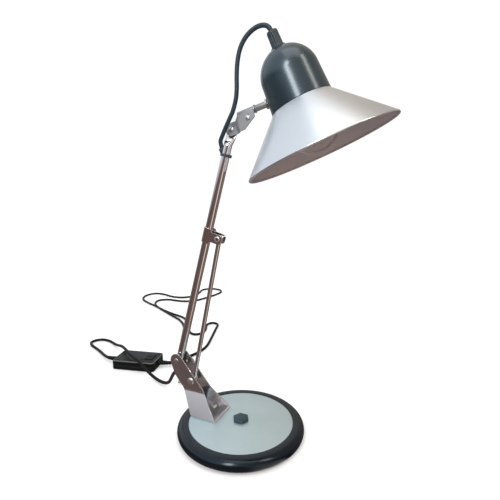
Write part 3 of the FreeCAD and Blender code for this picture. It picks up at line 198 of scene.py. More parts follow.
def metal(slot, color, second, roughness, swing=0.08, scale=60.0, grain=0.000003):
    """Bare or plated metal: clouded tone, uneven polish and a fine grain."""
    made = Finish(slot, color, Metallic=1.0)
    cloud = made.noise(scale)
    made.put("Base Color", made.tint(made.spread(cloud, 0.0, 1.0), color, second))
    smear = made.noise(scale * 0.35, detail=4.0)
    made.put("Roughness", made.spread(smear, roughness, roughness + swing))
    made.bump(made.noise(METAL_GRAIN, detail=2.0), grain)
    FINISHES[slot] = made
    return made


def moulded(slot, color, second, roughness, swing=0.1, coat=0.0, grain=0.00001, grain_scale=1400.0):
    """Moulded plastic or enamel: faintly clouded, with handling marks in its gloss and a fine skin."""
    made = Finish(slot, color, Coat_Weight=coat, Coat_Roughness=0.16)
    cloud = made.noise(45.0, detail=4.0)
    made.put("Base Color", made.tint(made.spread(cloud, 0.0, 1.0), color, second))
    made.put("Specular IOR Level", 0.4)
    marks = made.noise(22.0, detail=5.0, roughness=0.65)
    made.put("Roughness", made.spread(marks, roughness, roughness + swing))
    made.bump(made.noise(grain_scale, detail=2.0), grain)
    FINISHES[slot] = made
    return made


SPINNING_RINGS = 2600.0    # the fine rings that spinning leaves round the shade
SWITCH_BAND = 50.0         # the switch's ramp of painted highlights covers 20 mm of height


def make_finishes():
    ring = moulded("ring_gloss", (0.001, 0.003, 0.006), (0.002, 0.005, 0.009), 0.17, 0.04,
                   coat=0.2, grain=0.0000003)
    ring.put("Specular IOR Level", 0.36)
    # Painted reflection: a blue tint on the ring's reflections stands in for cool light from the left.
    ring.put("Specular Tint", (0.74, 0.90, 1.0, 1.0))
    plate = metal("plate_grey", (0.50, 0.61, 0.64), (0.55, 0.66, 0.69), 0.34, 0.10,
                  scale=24, grain=0.000002)
    plate.put("Metallic", 0.72)
    metal("iron", (0.16, 0.15, 0.145), (0.22, 0.20, 0.19), 0.55, 0.2, grain=0.00015)
    moulded("pad", (0.025, 0.025, 0.026), (0.04, 0.04, 0.041), 0.8, 0.1,
            grain=0.0002, grain_scale=800)
    metal("black_steel", (0.07, 0.11, 0.13), (0.09, 0.13, 0.15), 0.3, 0.12)
    metal("zinc", (0.62, 0.61, 0.58), (0.72, 0.71, 0.67), 0.3, 0.12)
    metal("chrome", (0.74, 0.70, 0.71), (0.80, 0.76, 0.76), 0.06, 0.04,
          scale=30, grain=0.0000006)
    metal("bracket_chrome", (0.79, 0.77, 0.79), (0.85, 0.83, 0.84), 0.20, 0.10,
          scale=26, grain=0.0000008)
    metal("rod_chrome", (0.76, 0.72, 0.72), (0.82, 0.78, 0.77), 0.07, 0.04,
          scale=30, grain=0.0000006)
    steel = metal("wrist_steel", (0.35, 0.36, 0.37), (0.41, 0.42, 0.43), 0.32, 0.08,
                  scale=30, grain=0.0000008)
    steel.put("Metallic", 0.75)
    moulded("black_plastic", (0.020, 0.034, 0.040), (0.029, 0.045, 0.052), 0.38, 0.12)
    cap = moulded("dome_black", (0.008, 0.018, 0.026), (0.011, 0.023, 0.032), 0.25, 0.03,
                  coat=0.3, grain=0.0000003)
    cap.put("Specular IOR Level", 0.85)
    # Painted reflection: a blue tint on the dome's reflections stands in for cool light from the left.
    cap.put("Specular Tint", (0.80, 0.93, 1.0, 1.0))
    shade = metal("shade_silver", (0.79, 0.81, 0.84), (0.83, 0.85, 0.87), 0.27, 0.07, scale=18)
    centre = HEAD.translation
    axis = (HEAD.to_3x3() @ Vector((0, 0, 1))).normalized()
    offset = shade.node("ShaderNodeVectorMath", {"operation": "SUBTRACT"},
                        {0: shade.place(), 1: tuple(centre)})
    along = shade.node("ShaderNodeVectorMath", {"operation": "DOT_PRODUCT"},
                       {0: offset, 1: tuple(axis)}, 1)
    rings = shade.node("ShaderNodeTexNoise", {"noise_dimensions": "1D"},
                       {"W": along, "Scale": SPINNING_RINGS, "Detail": 3.0})
    shade.bump(rings, 0.000006, 0.6)
    # Painted shade and reflection: the shade's inside is the same metal as its outside, in a darker, pinkish copy.
    inner = metal("shade_inside_shaded", (0.53, 0.46, 0.46), (0.58, 0.51, 0.50), 0.42, 0.08,
                  scale=30, grain=0.000002)
    inner.put("Metallic", 0.85)
    metal("brass", (0.72, 0.52, 0.24), (0.80, 0.60, 0.30), 0.3, 0.12)
    glass = Finish("bulb_glass", (1, 1, 1), Roughness=0.0, IOR=1.46, Transmission_Weight=1.0)
    FINISHES["bulb_glass"] = glass
    metal("cap_metal", (0.66, 0.63, 0.58), (0.74, 0.71, 0.66), 0.28, 0.12)
    stem = Finish("stem_glass", (0.85, 0.9, 0.88), Roughness=0.12, IOR=1.5, Transmission_Weight=0.6)
    FINISHES["stem_glass"] = stem
    # Painted light: the head cords and the leads are one black cord in two copies. This copy, for the head cords,
    # is lighter and bluer as if lit; the leads' copy below is darker, painted shade.
    cord = moulded("cord_black", (0.014, 0.028, 0.038), (0.019, 0.034, 0.045), 0.34, 0.1)
    cord.put("Specular IOR Level", 0.3)
    lead = moulded("lead_black_shaded", (0.003, 0.0032, 0.0035), (0.005, 0.0052, 0.0055), 0.36, 0.1)
    lead.put("Specular IOR Level", 0.22)
    tungsten = metal("tungsten", (0.92, 0.84, 0.70), (0.96, 0.88, 0.76), 0.35, 0.1)
    tungsten.put("Metallic", 0.4)
    box = moulded("switch_black", (0.004, 0.005, 0.005), (0.007, 0.008, 0.008), 0.42, 0.12,
                  grain=0.00002)
    box.put("Specular IOR Level", 0.24)
    # Painted highlights: a grey band along the rounding of the top edge, where light catches it, and a faint
    # lighter line at the seam between the halves.
    height = box.node("ShaderNodeSeparateXYZ", inputs={"Vector": box.place()}, output=2)
    painted_edge_highlight = box.node("ShaderNodeValToRGB", {"stops": [
        (0.0, (0.003, 0.003, 0.003)), (0.38, (0.003, 0.003, 0.003)), (0.40, (0.02, 0.022, 0.022)),
        (0.415, (0.003, 0.003, 0.003)), (0.71, (0.003, 0.003, 0.003)), (0.755, (0.12, 0.12, 0.12)),
        (0.79, (0.12, 0.12, 0.12)), (0.80, (0.004, 0.005, 0.005))]}, {0: height * SWITCH_BAND})
    box.put("Base Color", painted_edge_highlight)
    moulded("plug_black", (0.012, 0.014, 0.015), (0.02, 0.022, 0.024), 0.4, 0.12, grain=0.00002)
    metal("pin_nickel", (0.70, 0.67, 0.60), (0.78, 0.75, 0.69), 0.2, 0.1)


make_finishes()
SLOT_OF = {part["node"]: part["material_slot"] for part in frame["record"]["subparts"]}


def finish_nodes():
    """Every carried-over CAD node gets the finish of its own slot."""
    for name, node in frame["nodes"].items():
        made = FINISHES[SLOT_OF[name]].material
        if node.material_slots:
            for slot in node.material_slots:
                slot.material = made
        else:
            node.data.materials.append(made)


finish_nodes()


# ---------------------------------------------------------------- mesh tools
def arc(centre, radius, start, stop, steps):
    """Points of an arc in a plane, in degrees from its first axis towards its second."""
    swing = [math.radians(start + (stop - start) * i / steps) for i in range(steps + 1)]
    return [(centre[0] + radius * math.cos(a), centre[1] + radius * math.sin(a)) for a in swing]


def line_of(points, closed=False):
    bm = bmesh.new()
    dots = [bm.verts.new(p) for p in points]
    following = dots[1:] + (dots[:1] if closed else [])
    for a, b in zip(dots, following):
        bm.edges.new((a, b))
    return bm


def bend(bm, edges, radius, segments):
    """Rounds the given edges."""
    bmesh.ops.bevel(bm, geom=edges, offset=radius, offset_type="OFFSET", segments=segments,
                    profile=0.5, affect="EDGES", clamp_overlap=True, material=-1)


def soften(bm, width, segments=3, sharper=30.0):
    """Rounds every edge where two faces meet more sharply than the given angle."""
    limit = math.radians(sharper)
    sharp = [e for e in bm.edges if len(e.link_faces) == 2 and e.calc_face_angle(0) > limit]
    if sharp:
        bend(bm, sharp, width, segments)
    return bm


def face_near(bm):
    """Turns a sheet's faces all one way, the first of them to the near side."""
    bmesh.ops.recalc_face_normals(bm, faces=bm.faces)
    bm.faces.ensure_lookup_table()
    if bm.faces[0].normal.y > 0:
        bmesh.ops.reverse_faces(bm, faces=bm.faces)


def thicken(bm, thick):
    """Gives a sheet its thickness behind its faces, and breaks its edges."""
    bmesh.ops.solidify(bm, geom=bm.faces[:], thickness=thick)
    bmesh.ops.recalc_face_normals(bm, faces=bm.faces)
    return soften(bm, 0.25, 2, 40)


def tidy(bm):
    bmesh.ops.remove_doubles(bm, verts=bm.verts, dist=0.00001)
    bmesh.ops.delete(bm, geom=[e for e in bm.edges if e.is_wire], context="EDGES")
    bmesh.ops.recalc_face_normals(bm, faces=bm.faces)
    return bm


def lathe(profile, steps=96, closed=True):
    """Turns a half section of (radius, height) points about the upright axis."""
    bm = line_of([(r, 0, z) for r, z in profile], closed)
    bmesh.ops.spin(bm, geom=bm.verts[:] + bm.edges[:], cent=(0, 0, 0), axis=(0, 0, 1),
                   angle=2 * math.pi, steps=steps, use_merge=True, use_duplicate=False)
    return tidy(bm)


def rod(radius, low, high, steps=32):
    """A plain upright cylinder from one height to another."""
    return lathe([(0, low), (radius, low), (radius, high), (0, high)], steps, closed=False)


def slab(outline, thick):
    """A flat outline given thickness upwards."""
    bm = bmesh.new()
    face = bm.faces.new([bm.verts.new((x, y, 0)) for x, y in outline])
    raised = bmesh.ops.extrude_face_region(bm, geom=[face])["geom"]
    corners = [g for g in raised if isinstance(g, bmesh.types.BMVert)]
    bmesh.ops.translate(bm, vec=(0, 0, thick), verts=corners)
    return tidy(bm)


def skin(sections):
    """Joins closed sections of equal counts one after another."""
    bm = bmesh.new()
    loops = []
    for section in sections:
        dots = [bm.verts.new(p) for p in section]
        loops.append([bm.edges.new((a, b)) for a, b in zip(dots, dots[1:] + dots[:1])])
    for low, high in zip(loops, loops[1:]):
        bmesh.ops.bridge_loops(bm, edges=low + high)
    bmesh.ops.contextual_create(bm, geom=loops[0])
    bmesh.ops.contextual_create(bm, geom=loops[-1])
    bmesh.ops.recalc_face_normals(bm, faces=bm.faces)
    return bm


def rounded(long, wide, radius, height, centre=(0, 0), steps=6):
    """A rounded rectangle's points at one height."""
    points = []
    for quarter, (sx, sy) in enumerate(((1, 1), (-1, 1), (-1, -1), (1, -1))):
        corner = (centre[0] + sx * (long / 2 - radius), centre[1] + sy * (wide / 2 - radius))
        turn = arc(corner, radius, 90 * quarter, 90 * quarter + 90, steps)
        points += [(x, y, height) for x, y in turn]
    return points


def moved(bm, *matrices):
    for matrix in matrices:
        bmesh.ops.transform(bm, matrix=matrix, verts=bm.verts)
    return bm


def shift(x, y, z):
    return Matrix.Translation((x, y, z))


def piece(name, shapes, place, slot, body, replaces=(), sharp=35.0, finishes=None):
    """Puts shapes together as one named piece, in its place, with its finish, on its body."""
    mesh = bpy.data.meshes.new(name)
    whole = bmesh.new()
    for shape in shapes:
        part = bpy.data.meshes.new("part")
        shape.to_mesh(part)
        shape.free()
        whole.from_mesh(part)
        bpy.data.meshes.remove(part)
    bmesh.ops.transform(whole, matrix=place, verts=whole.verts)
    for face in whole.faces:
        face.smooth = True
    whole.to_mesh(mesh)
    whole.free()
    mesh.set_sharp_from_angle(angle=math.radians(sharp))
    made = bpy.data.objects.new(name, mesh)
    bpy.context.scene.collection.objects.link(made)
    for finish in finishes or [slot]:
        mesh.materials.append(FINISHES[finish].material)
    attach(made, body)
    if replaces:
        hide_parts(*replaces)
    return made


def flatten_shading(made):
    """Keeps large flat faces flat up to their rounded edges."""
    modifier = made.modifiers.new("flat_faces", "WEIGHTED_NORMAL")
    modifier.keep_sharp = True
    modifier.weight = 60


# ---------------------------------------------------------------- camera, floor and light
VIEW_FROM = (0.1958, -0.4027, 0.3001)
VIEW_SWING = 24.5    # degrees that the camera looks round from square
VIEW_DIP = 8.36      # and down
VIEW_ROLL = 0.12


def make_camera():
    data = bpy.data.cameras.new("camera")
    data.lens = 27.36
    data.sensor_width = 36.0
    camera = bpy.data.objects.new("camera", data)
    bpy.context.scene.collection.objects.link(camera)
    swing, dip = math.radians(VIEW_SWING), math.radians(VIEW_DIP)
    level = math.cos(dip)
    forward = Vector((-level * math.sin(swing), level * math.cos(swing), -math.sin(dip)))
    turn = forward.to_track_quat("-Z", "Y").to_matrix().to_4x4()
    camera.matrix_world = Matrix.Translation(VIEW_FROM) @ turn @ turned("Z", VIEW_ROLL)
    bpy.context.scene.camera = camera


AROUND = [
    (0.0, (0.31, 0.29, 0.29)), (0.17, (0.25, 0.21, 0.205)), (0.29, (0.10, 0.065, 0.060)),
    (0.38, (0.15, 0.098, 0.088)), (0.52, (0.19, 0.125, 0.110)),
    (0.556, (0.82, 0.74, 0.65)), (0.612, (0.87, 0.80, 0.71)),
    (0.632, (0.035, 0.022, 0.020)), (0.67, (0.15, 0.105, 0.092)), (0.80, (0.26, 0.205, 0.19)),
    (0.92, (0.10, 0.072, 0.065)), (1.0, (0.31, 0.29, 0.29))]
AROUND_START = 245.5    # degrees that this ring of colours is turned
CEILING = [(0.35, (0.86, 0.93, 1.0)), (0.56, (0.66, 0.61, 0.54)), (0.8, (0.40, 0.355, 0.30))]
HORIZON = 0.04          # how far up a mirrored direction points where the ceiling starts
HORIZON_FADE = 4.5


def surroundings(tree, place):
    """What metal mirrors on each bearing: warm browns, a bright strip and a dark line beside it."""
    split = tree.nodes.new("ShaderNodeSeparateXYZ")
    tree.links.new(place, split.inputs[0])
    forward, across = (Wire(tree, split.outputs[k]) for k in ("X", "Y"))
    share = (across.math("ARCTAN2", across, forward) + math.radians(AROUND_START)) / (2 * math.pi)
    ramp = tree.nodes.new("ShaderNodeValToRGB")
    fill_ramp(ramp.color_ramp, AROUND)
    tree.links.new(share.math("FRACT", share).socket, ramp.inputs[0])
    return Wire(tree, ramp.outputs[0])


def make_floor():
    """A pale floor, which polished metal mirrors as a dimmer, warmer surface."""
    bm = bmesh.new()
    bmesh.ops.create_grid(bm, x_segments=2, y_segments=2, size=6.0)
    mesh = bpy.data.meshes.new("floor")
    bm.to_mesh(mesh)
    bm.free()
    floor = bpy.data.objects.new("floor", mesh)
    bpy.context.scene.collection.objects.link(floor)
    pale = Finish("floor_pale", (0.9, 0.9, 0.9), Roughness=0.9, Specular_IOR_Level=0.0,
                  Emission_Strength=0.13)
    pale.put("Emission Color", (1, 1, 1, 1))
    around = surroundings(pale.tree, pale.place().socket)
    mirrored = pale.node("ShaderNodeEmission", inputs={"Color": around, "Strength": 1.0})
    rays = pale.node("ShaderNodeLightPath", output=3)
    shown = pale.node("ShaderNodeMixShader", inputs={
        0: rays, 1: Wire(pale.tree, pale.shader.outputs[0]), 2: mirrored})
    pale.tree.links.new(shown.socket, pale.tree.nodes["Material Output"].inputs["Surface"])
    mesh.materials.append(pale.material)
    floor.location.z = -0.0003


def softbox(name, bearing, height, distance, wide, tall, power, color=(1.0, 1.0, 1.0)):
    """A rectangular light on a bearing from the lamp, in degrees from forward, facing it."""
    data = bpy.data.lights.new(name, "AREA")
    data.shape = "RECTANGLE"
    data.size = wide
    data.size_y = tall
    data.energy = power
    data.color = color
    light = bpy.data.objects.new(name, data)
    aim = Vector((0.0, 0.0, 0.25))
    swing = math.radians(bearing)
    place = Vector((distance * math.cos(swing), distance * math.sin(swing), height))
    turn = (aim - place).to_track_quat("-Z", "Y").to_matrix().to_4x4()
    light.matrix_world = Matrix.Translation(place) @ turn
    bpy.context.scene.collection.objects.link(light)


def make_world():
    """Even white light; metal mirrors browns all round, under a ceiling cool on one side only."""
    world = bpy.data.worlds.new("studio")
    bpy.context.scene.world = world
    world.use_nodes = True
    tree = world.node_tree
    tree.nodes.clear()
    out = tree.nodes.new("ShaderNodeOutputWorld")
    room, white, pick = (tree.nodes.new(k) for k in (
        "ShaderNodeBackground", "ShaderNodeBackground", "ShaderNodeMixShader"))
    rays = tree.nodes.new("ShaderNodeLightPath")
    spot = tree.nodes.new("ShaderNodeTexCoord")
    right = tree.nodes.new("ShaderNodeVectorMath")
    right.operation = "DOT_PRODUCT"
    swing = math.radians(VIEW_SWING)
    right.inputs[1].default_value = (math.cos(swing), math.sin(swing), 0)
    tree.links.new(spot.outputs["Generated"], right.inputs[0])
    side = Wire(tree, right.outputs["Value"])
    around = surroundings(tree, spot.outputs["Generated"])
    split = tree.nodes.new("ShaderNodeSeparateXYZ")
    tree.links.new(spot.outputs["Generated"], split.inputs[0])
    up = Wire(tree, split.outputs["Z"])
    lift = (up - HORIZON) * HORIZON_FADE
    blend = tree.nodes.new("ShaderNodeMix")
    blend.data_type = "RGBA"
    blend.clamp_factor = True
    ceiling = tree.nodes.new("ShaderNodeValToRGB")
    tree.links.new((side * 0.5 + 0.5).socket, ceiling.inputs[0])
    fill_ramp(ceiling.color_ramp, CEILING)
    tree.links.new(lift.socket, blend.inputs[0])
    tree.links.new(around.socket, blend.inputs[6])
    tree.links.new(ceiling.outputs[0], blend.inputs[7])
    tree.links.new(blend.outputs[2], room.inputs["Color"])
    room.inputs["Strength"].default_value = 0.9
    white.inputs["Color"].default_value = (1, 1, 1, 1)
    white.inputs["Strength"].default_value = 1.02
    tree.links.new(rays.outputs["Is Glossy Ray"], pick.inputs[0])
    tree.links.new(white.outputs[0], pick.inputs[1])
    tree.links.new(room.outputs[0], pick.inputs[2])
    tree.links.new(pick.outputs[0], out.inputs[0])


make_camera()
make_floor()
make_world()
softbox("key_left", bearing=-85, height=0.95, distance=1.3, wide=0.30, tall=0.8, power=8.0)
softbox("warm_right", bearing=-11, height=1.6, distance=1.3, wide=0.30, tall=0.9, power=5.0,
        color=(1.0, 0.92, 0.80))
softbox("overhead", bearing=-60, height=1.7, distance=0.35, wide=1.0, tall=1.0, power=3.6)
bpy.context.scene.view_settings.view_transform = "Standard"


# ---------------------------------------------------------------- cords
LAMP_ROUTE = [
    (-91.06, 0, 80.24), (-94.73, 0, 66.72), (-103, 4.5, 57), (-113.5, 14, 47.5), (-127.5, 28.5, 32),
    (-144, 43.5, 13.5), (-163, 55, 4), (-184, 61, 4), (-204, 64, 13), (-224, 69, 22.5),
    (-249, 79.5, 24.5), (-276, 95, 24.5), (-301, 112, 20), (-326, 129.5, 10), (-350, 144.5, 3),
    (-374, 155, 2.7), (-396, 153, 2.7), (-404, 134, 2.7), (-388, 121, 2.7), (-365, 113, 2.7),
    (-345, 104, 2.9), (-325.5, 92.5, 5), (-302.26, 81.67, 8), (-280.95, 87.1, 8)]
MAINS_ROUTE = [
    (-215.05, 103.9, 8), (-193.74, 109.33, 8), (-188.5, 128, 3.4), (-186, 151, 2.7), (-177, 177, 2.7),
    (-177, 210, 2.7), (-188, 243, 2.7), (-200, 277, 2.7), (-212, 310, 2.7), (-220, 336, 2.7),
    (-240, 340, 2.7), (-244, 320, 2.7), (-231, 298, 2.7), (-223, 274, 2.7), (-232, 255, 2.7),
    (-252, 262, 2.7), (-270, 289, 2.7), (-293, 319, 2.7), (-322, 344, 2.7), (-362, 354, 2.7),
    (-404, 371, 2.7), (-446, 392, 2.7), (-487, 409, 2.7), (-521, 429, 2.7), (-540, 463, 2.7),
    (-531, 499, 2.7), (-496, 500, 2.7), (-460, 486, 2.7), (-424, 491, 2.7), (-405, 521, 2.7),
    (-411, 560, 2.7), (-425, 594, 2.7), (-405, 620, 2.7), (-371, 619, 2.7), (-353, 592, 2.7),
    (-356, 553, 2.7), (-364, 513, 2.7), (-377, 473, 2.7), (-412, 456, 2.7), (-450, 460, 2.7),
    (-475, 440, 2.7), (-461, 407, 2.7), (-428, 382, 2.7), (-389, 361, 2.7), (-351, 340, 2.7),
    (-316, 322, 2.7), (-286, 293, 2.7), (-262, 258, 2.7), (-238, 224, 2.7), (-217, 192, 5),
    (-201.5, 168, 12.8), (-184.5, 147.5, 12.8), (-158.4, 137.0, 6.8), (-149.97, 116.12, 6.8)]
UPPER_ROUTE = [
    (41.45, -6.57, 463.9), (38.88, -7.26, 469.84), (34.5, -8, 474.6), (26.5, -8.8, 475.3),
    (18, -9.4, 471.9), (10, -10, 465), (4, -10, 455), (1, -10, 441.5), (0.3, -10, 427.5),
    (0.6, -10, 413.5), (-1.2, -9.6, 400.5), (-5.2, -9.3, 390.5)]
LOWER_ROUTE = [
    (-4.95, -9.3, 391.1), (-9.6, -9.3, 382.5), (-15, -8.3, 374), (-20.5, -5.6, 366),
    (-26.07, -2.27, 359.1), (-20.1, 0, 343.33)]
CORD_RADIUS = 2.5 * MM


def route_curve(name, route, radius):
    data = bpy.data.curves.new(name, "CURVE")
    data.dimensions = "3D"
    spline = data.splines.new("NURBS")
    spline.points.add(len(route) - 1)
    for dot, place in zip(spline.points, route):
        dot.co = (place[0] * MM, place[1] * MM, place[2] * MM, 1)
    spline.order_u = 3
    spline.use_endpoint_u = True
    spline.resolution_u = 14
    data.resolution_u = 14
    data.bevel_depth = radius
    data.bevel_resolution = 5
    data.use_fill_caps = True
    made = bpy.data.objects.new(name, data)
    bpy.context.scene.collection.objects.link(made)
    return made


def followed(route):
    """Points read along a route's own smooth line."""
    thin = route_curve("line", route, 0)
    bpy.context.view_layer.update()
    mesh = bpy.data.meshes.new_from_object(thin)
    points = [v.co.copy() for v in mesh.vertices]
    bpy.data.meshes.remove(mesh)
    bpy.data.objects.remove(thin)
    return points


def tube_mesh(name, route, radius, finish="cord_black"):
    """A cord's curve made a mesh, for a cord that bends across a joint."""
    curve = route_curve(name + "_line", route, radius)
    bpy.context.view_layer.update()
    mesh = bpy.data.meshes.new_from_object(curve)
    bpy.data.objects.remove(curve)
    bm = bmesh.new()
    bm.from_mesh(mesh)
    tidy(bm)
    for face in bm.faces:
        face.smooth = True
    bm.to_mesh(mesh)
    bm.free()
    mesh.materials.clear()
    mesh.materials.append(FINISHES[finish].material)
    mesh.set_sharp_from_angle(angle=math.radians(50))
    made = bpy.data.objects.new(name, mesh)
    bpy.context.scene.collection.objects.link(made)
    return made


def ring_about(place, way, radius, sides):
    """A circle of points square to a direction."""
    turn = way.to_track_quat("Z", "Y")
    return [place + turn @ Vector((radius * math.cos(a), radius * math.sin(a), 0))
            for a in (2 * math.pi * k / sides for k in range(sides))]


def along(points, distance):
    """The place and direction at a distance along a line of points."""
    for a, b in zip(points, points[1:]):
        step = (b - a).length
        if 0 < distance <= step:
            return a + (b - a) * (distance / step), (b - a).normalized()
        distance -= step
    return points[-1], (points[-1] - points[-2]).normalized()


RELIEF_RINGS = 33
RIB_DEPTH = 0.0006


def relief(points, start, length, thick, thin):
    """A ribbed sleeve that tapers along a cord, its sizes in metres."""
    sections = []
    for i in range(RELIEF_RINGS + 1):
        share = i / RELIEF_RINGS
        place, way = along(points, start + length * share)
        radius = thick + (thin - thick) * share
        if i % 4 in (2, 3) and 3 < i < RELIEF_RINGS - 2:
            radius -= RIB_DEPTH
        sections.append(ring_about(place, way, radius, 28))
    return soften(skin(sections), 0.00012, 2, 25)


def place_cords():
    lamp = tube_mesh("lead_lamp_to_switch", LAMP_ROUTE, CORD_RADIUS, "lead_black_shaded")
    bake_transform(lamp)
    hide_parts("lamp_lead")
    mains = route_curve("lead_switch_to_plug", MAINS_ROUTE, CORD_RADIUS)
    mains.data.materials.append(FINISHES["lead_black_shaded"].material)
    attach(mains, "base")
    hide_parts("mains_lead")
    upper = tube_mesh("head_cord_bend", UPPER_ROUTE, CORD_RADIUS)
    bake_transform(upper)
    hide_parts("head_cord_upper")
    lower = tube_mesh("wrist_cord_bend", LOWER_ROUTE, CORD_RADIUS)
    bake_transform(lower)
    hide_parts("head_cord_lower")
    return lamp, mains, upper, lower


# ---------------------------------------------------------------- base
def rivet_head(radius, tall, rim=0.22):
    """Half section of a domed head that stands on its flat side."""
    dome = [(radius * x, tall * (rim + (1 - rim) * z)) for x, z in arc((0, 0), 1.0, 0, 90, 9)]
    return [(0, 0), (radius, 0)] + dome[:-1] + [(0, tall)]


BOLT_ACROSS = 18.4
PLATE_TOP = 15.85


def make_base():
    ring = [(63.4, 0.8), (72.4, 0.8)] + arc((72.4, 8.4), 7.6, -90, 90, 22)[1:] + [
        (65.75, 16), (65.75, 14.25), (63.4, 14.25)]
    piece("ring_moulded", [soften(lathe(ring, 144), 0.45)], ROW, "ring_gloss", "base",
          ["base_ring"])
    disc = [(0, 14.3), (65.7, 14.3), (65.7, 15.8), (0, 15.8)]
    piece("plate_pressed", [soften(lathe(disc, 144, closed=False), 0.5)], ROW, "plate_grey", "base",
          ["base_plate"])
    corner = BOLT_ACROSS / math.sqrt(3)
    outline = arc((0, 0), corner, 0, 300, 5)
    hexagon = moved(soften(slab(outline, 3.4), 0.7, 3), shift(0, 0, PLATE_TOP))
    shank = rod(4, 3, 16, 36)
    piece("bolt_head", [hexagon, shank], ROW, "black_steel", "base", ["centre_bolt"])


# ---------------------------------------------------------------- bracket
CHEEK_ROUND = 9.3    # radius about the arm's pivot
CHEEK_OUT = 9        # outer face of each cheek, from the middle
FOOT_OUT = 21.5      # and of the bracket's foot
CREASE_UP = 45.8     # where the cheeks start to flare
CHEEK_FACE = 9.05    # where the heads of pins and rivets start


def touch(outside, centre, radius, side):
    """Where a line from an outside point touches a circle."""
    away = Vector(centre) - Vector(outside)
    swing = math.asin(radius / away.length) * side
    reach = math.sqrt(away.length ** 2 - radius ** 2)
    return Vector(outside) + (Matrix.Rotation(swing, 2) @ away.normalized()) * reach


def cheek_outline():
    pivot, back, knee, front = (-90.8, 81.2), (-79.7, CREASE_UP), (-93.6, 62.3), (-48.9, CREASE_UP)
    rear = touch(knee, pivot, CHEEK_ROUND, 1) - Vector(pivot)
    fore = touch(front, pivot, CHEEK_ROUND, -1) - Vector(pivot)
    start, stop = (math.degrees(math.atan2(v.y, v.x)) for v in (rear, fore))
    return [back, knee] + arc(pivot, CHEEK_ROUND, start % 360, stop, 22) + [front]


def bracket_sheet():
    """The bracket's outer surface: cheek, flare, web, flare and cheek, folded from one blank."""
    bm = bmesh.new()
    feet = []
    for side in (-1, 1):
        top = [bm.verts.new((x, side * CHEEK_OUT, z)) for x, z in cheek_outline()]
        bm.faces.new(top)
        low = [bm.verts.new((x, side * FOOT_OUT, PLATE_TOP)) for x in (-25.8, -61.4)]
        bm.faces.new([top[0], top[-1], low[0], low[1]])
        feet.append(low)
    bm.faces.new([feet[0][0], feet[0][1], feet[1][1], feet[1][0]])
    face_near(bm)
    toes = [bm.edges.get(pair) for pair in feet]
    bend(bm, toes, 1.9, 4)
    creases = [e for e in bm.edges if len(e.link_faces) == 2 and all(
        abs(v.co.z - CREASE_UP) < 0.01 and abs(abs(v.co.y) - CHEEK_OUT) < 0.01 for v in e.verts)]
    bend(bm, creases, 2.6, 5)
    return bm


def make_bracket():
    folded = piece("bracket_folded", [thicken(bracket_sheet(), 1.6)], ROW, "bracket_chrome", "base",
                   ["bracket"], sharp=50)
    flatten_shading(folded)
    pins = []
    for side in (NEAR, FAR):
        head = lathe(rivet_head(3.2, 0.9), 40, closed=False)
        pins.append(moved(head, shift(0, 0, CHEEK_FACE), side))
        pins.append(moved(rod(2, 3.5, 9.1), side))
    piece("pivot_pins", pins, at_joint("arm_tilt") @ SMALL, "zinc", "base", ["arm_pivot_pins"])
    rivet = []
    for side in (NEAR, FAR):
        head = lathe(rivet_head(4.6, 1.9, 0.1), 48, closed=False)
        rivet.append(moved(head, shift(0, 0, CHEEK_FACE), side))
    rivet.append(moved(rod(2, -9.1, 9.1), NEAR))
    piece("brace_rivet_domed", rivet, at_joint("brace_tilt") @ SMALL, "zinc", "base",
          ["brace_rivet"])


# ---------------------------------------------------------------- arm, brace and clip
TUBE_RADIUS = 5
TONGUE_WIDE = 6.4      # half the width of the tube's pressed top
TONGUE_THICK = 1.1     # and half its thickness
TONGUE_SIDE = 2.8      # how far it is pressed off the tube's axis
TONGUE_SQUARE = 4.6


def flat_ring(wide, thick, height, across=0.0, square=2.0, count=96):
    """A closed section between round and flat; a higher squareness makes flatter faces."""
    points = []
    for k in range(count):
        swing = 2 * math.pi * (k + 0.5) / count
        c, s = math.cos(swing), math.sin(swing)
        points.append((math.copysign(abs(c) ** (2 / square), c) * wide,
                       across + math.copysign(abs(s) ** (2 / square), s) * thick, height))
    return points


def make_tube():
    """The tube from inside its open foot, up its outside, to the pressed and rounded top."""
    foot = [(4, 8), (4, -8.7), (4.3, -9), (4.7, -9), (TUBE_RADIUS, -8.7)]
    sections = [flat_ring(radius, radius, height) for radius, height in foot]
    sections += [flat_ring(TUBE_RADIUS, TUBE_RADIUS, z) for z in (0, 60, 120, 180, 240, 284)]
    for i in range(1, 11):
        share = i / 10
        ease = share * share * (3 - 2 * share)
        sections.append(flat_ring(TUBE_RADIUS + (TONGUE_WIDE - TUBE_RADIUS) * ease,
                                  TUBE_RADIUS + (TONGUE_THICK - TUBE_RADIUS) * ease,
                                  284.5 + 12 * share, TONGUE_SIDE * ease, 2 + 2.6 * ease))
    sections += [flat_ring(TONGUE_WIDE, TONGUE_THICK, height, TONGUE_SIDE, TONGUE_SQUARE)
                 for height in (299.5, ARM_LENGTH)]
    for swing in (15, 30, 42, 53, 63, 72, 79, 85):
        a = math.radians(swing)
        height = ARM_LENGTH + TONGUE_WIDE * math.sin(a)
        sections.append(flat_ring(TONGUE_WIDE * math.cos(a), TONGUE_THICK, height,
                                  TONGUE_SIDE, TONGUE_SQUARE))
    piece("tube_pressed", [skin(sections)], ARM, "chrome", "arm", ["arm_tube"], sharp=40)
    rivet = [moved(lathe(rivet_head(3.2, 1.3), 40, closed=False), shift(0, 0, 0.8), NEAR)]
    rivet.append(moved(lathe(rivet_head(3.2, 1.3), 40, closed=False), shift(0, 0, 3.95), FAR))
    rivet.append(moved(rod(1.8, -4, 0.8), NEAR))
    piece("wrist_rivet_domed", rivet, ARM @ shift(0, 0, ARM_LENGTH), "zinc", "arm", ["wrist_rivet"])


TIE_HEIGHT = 273.2


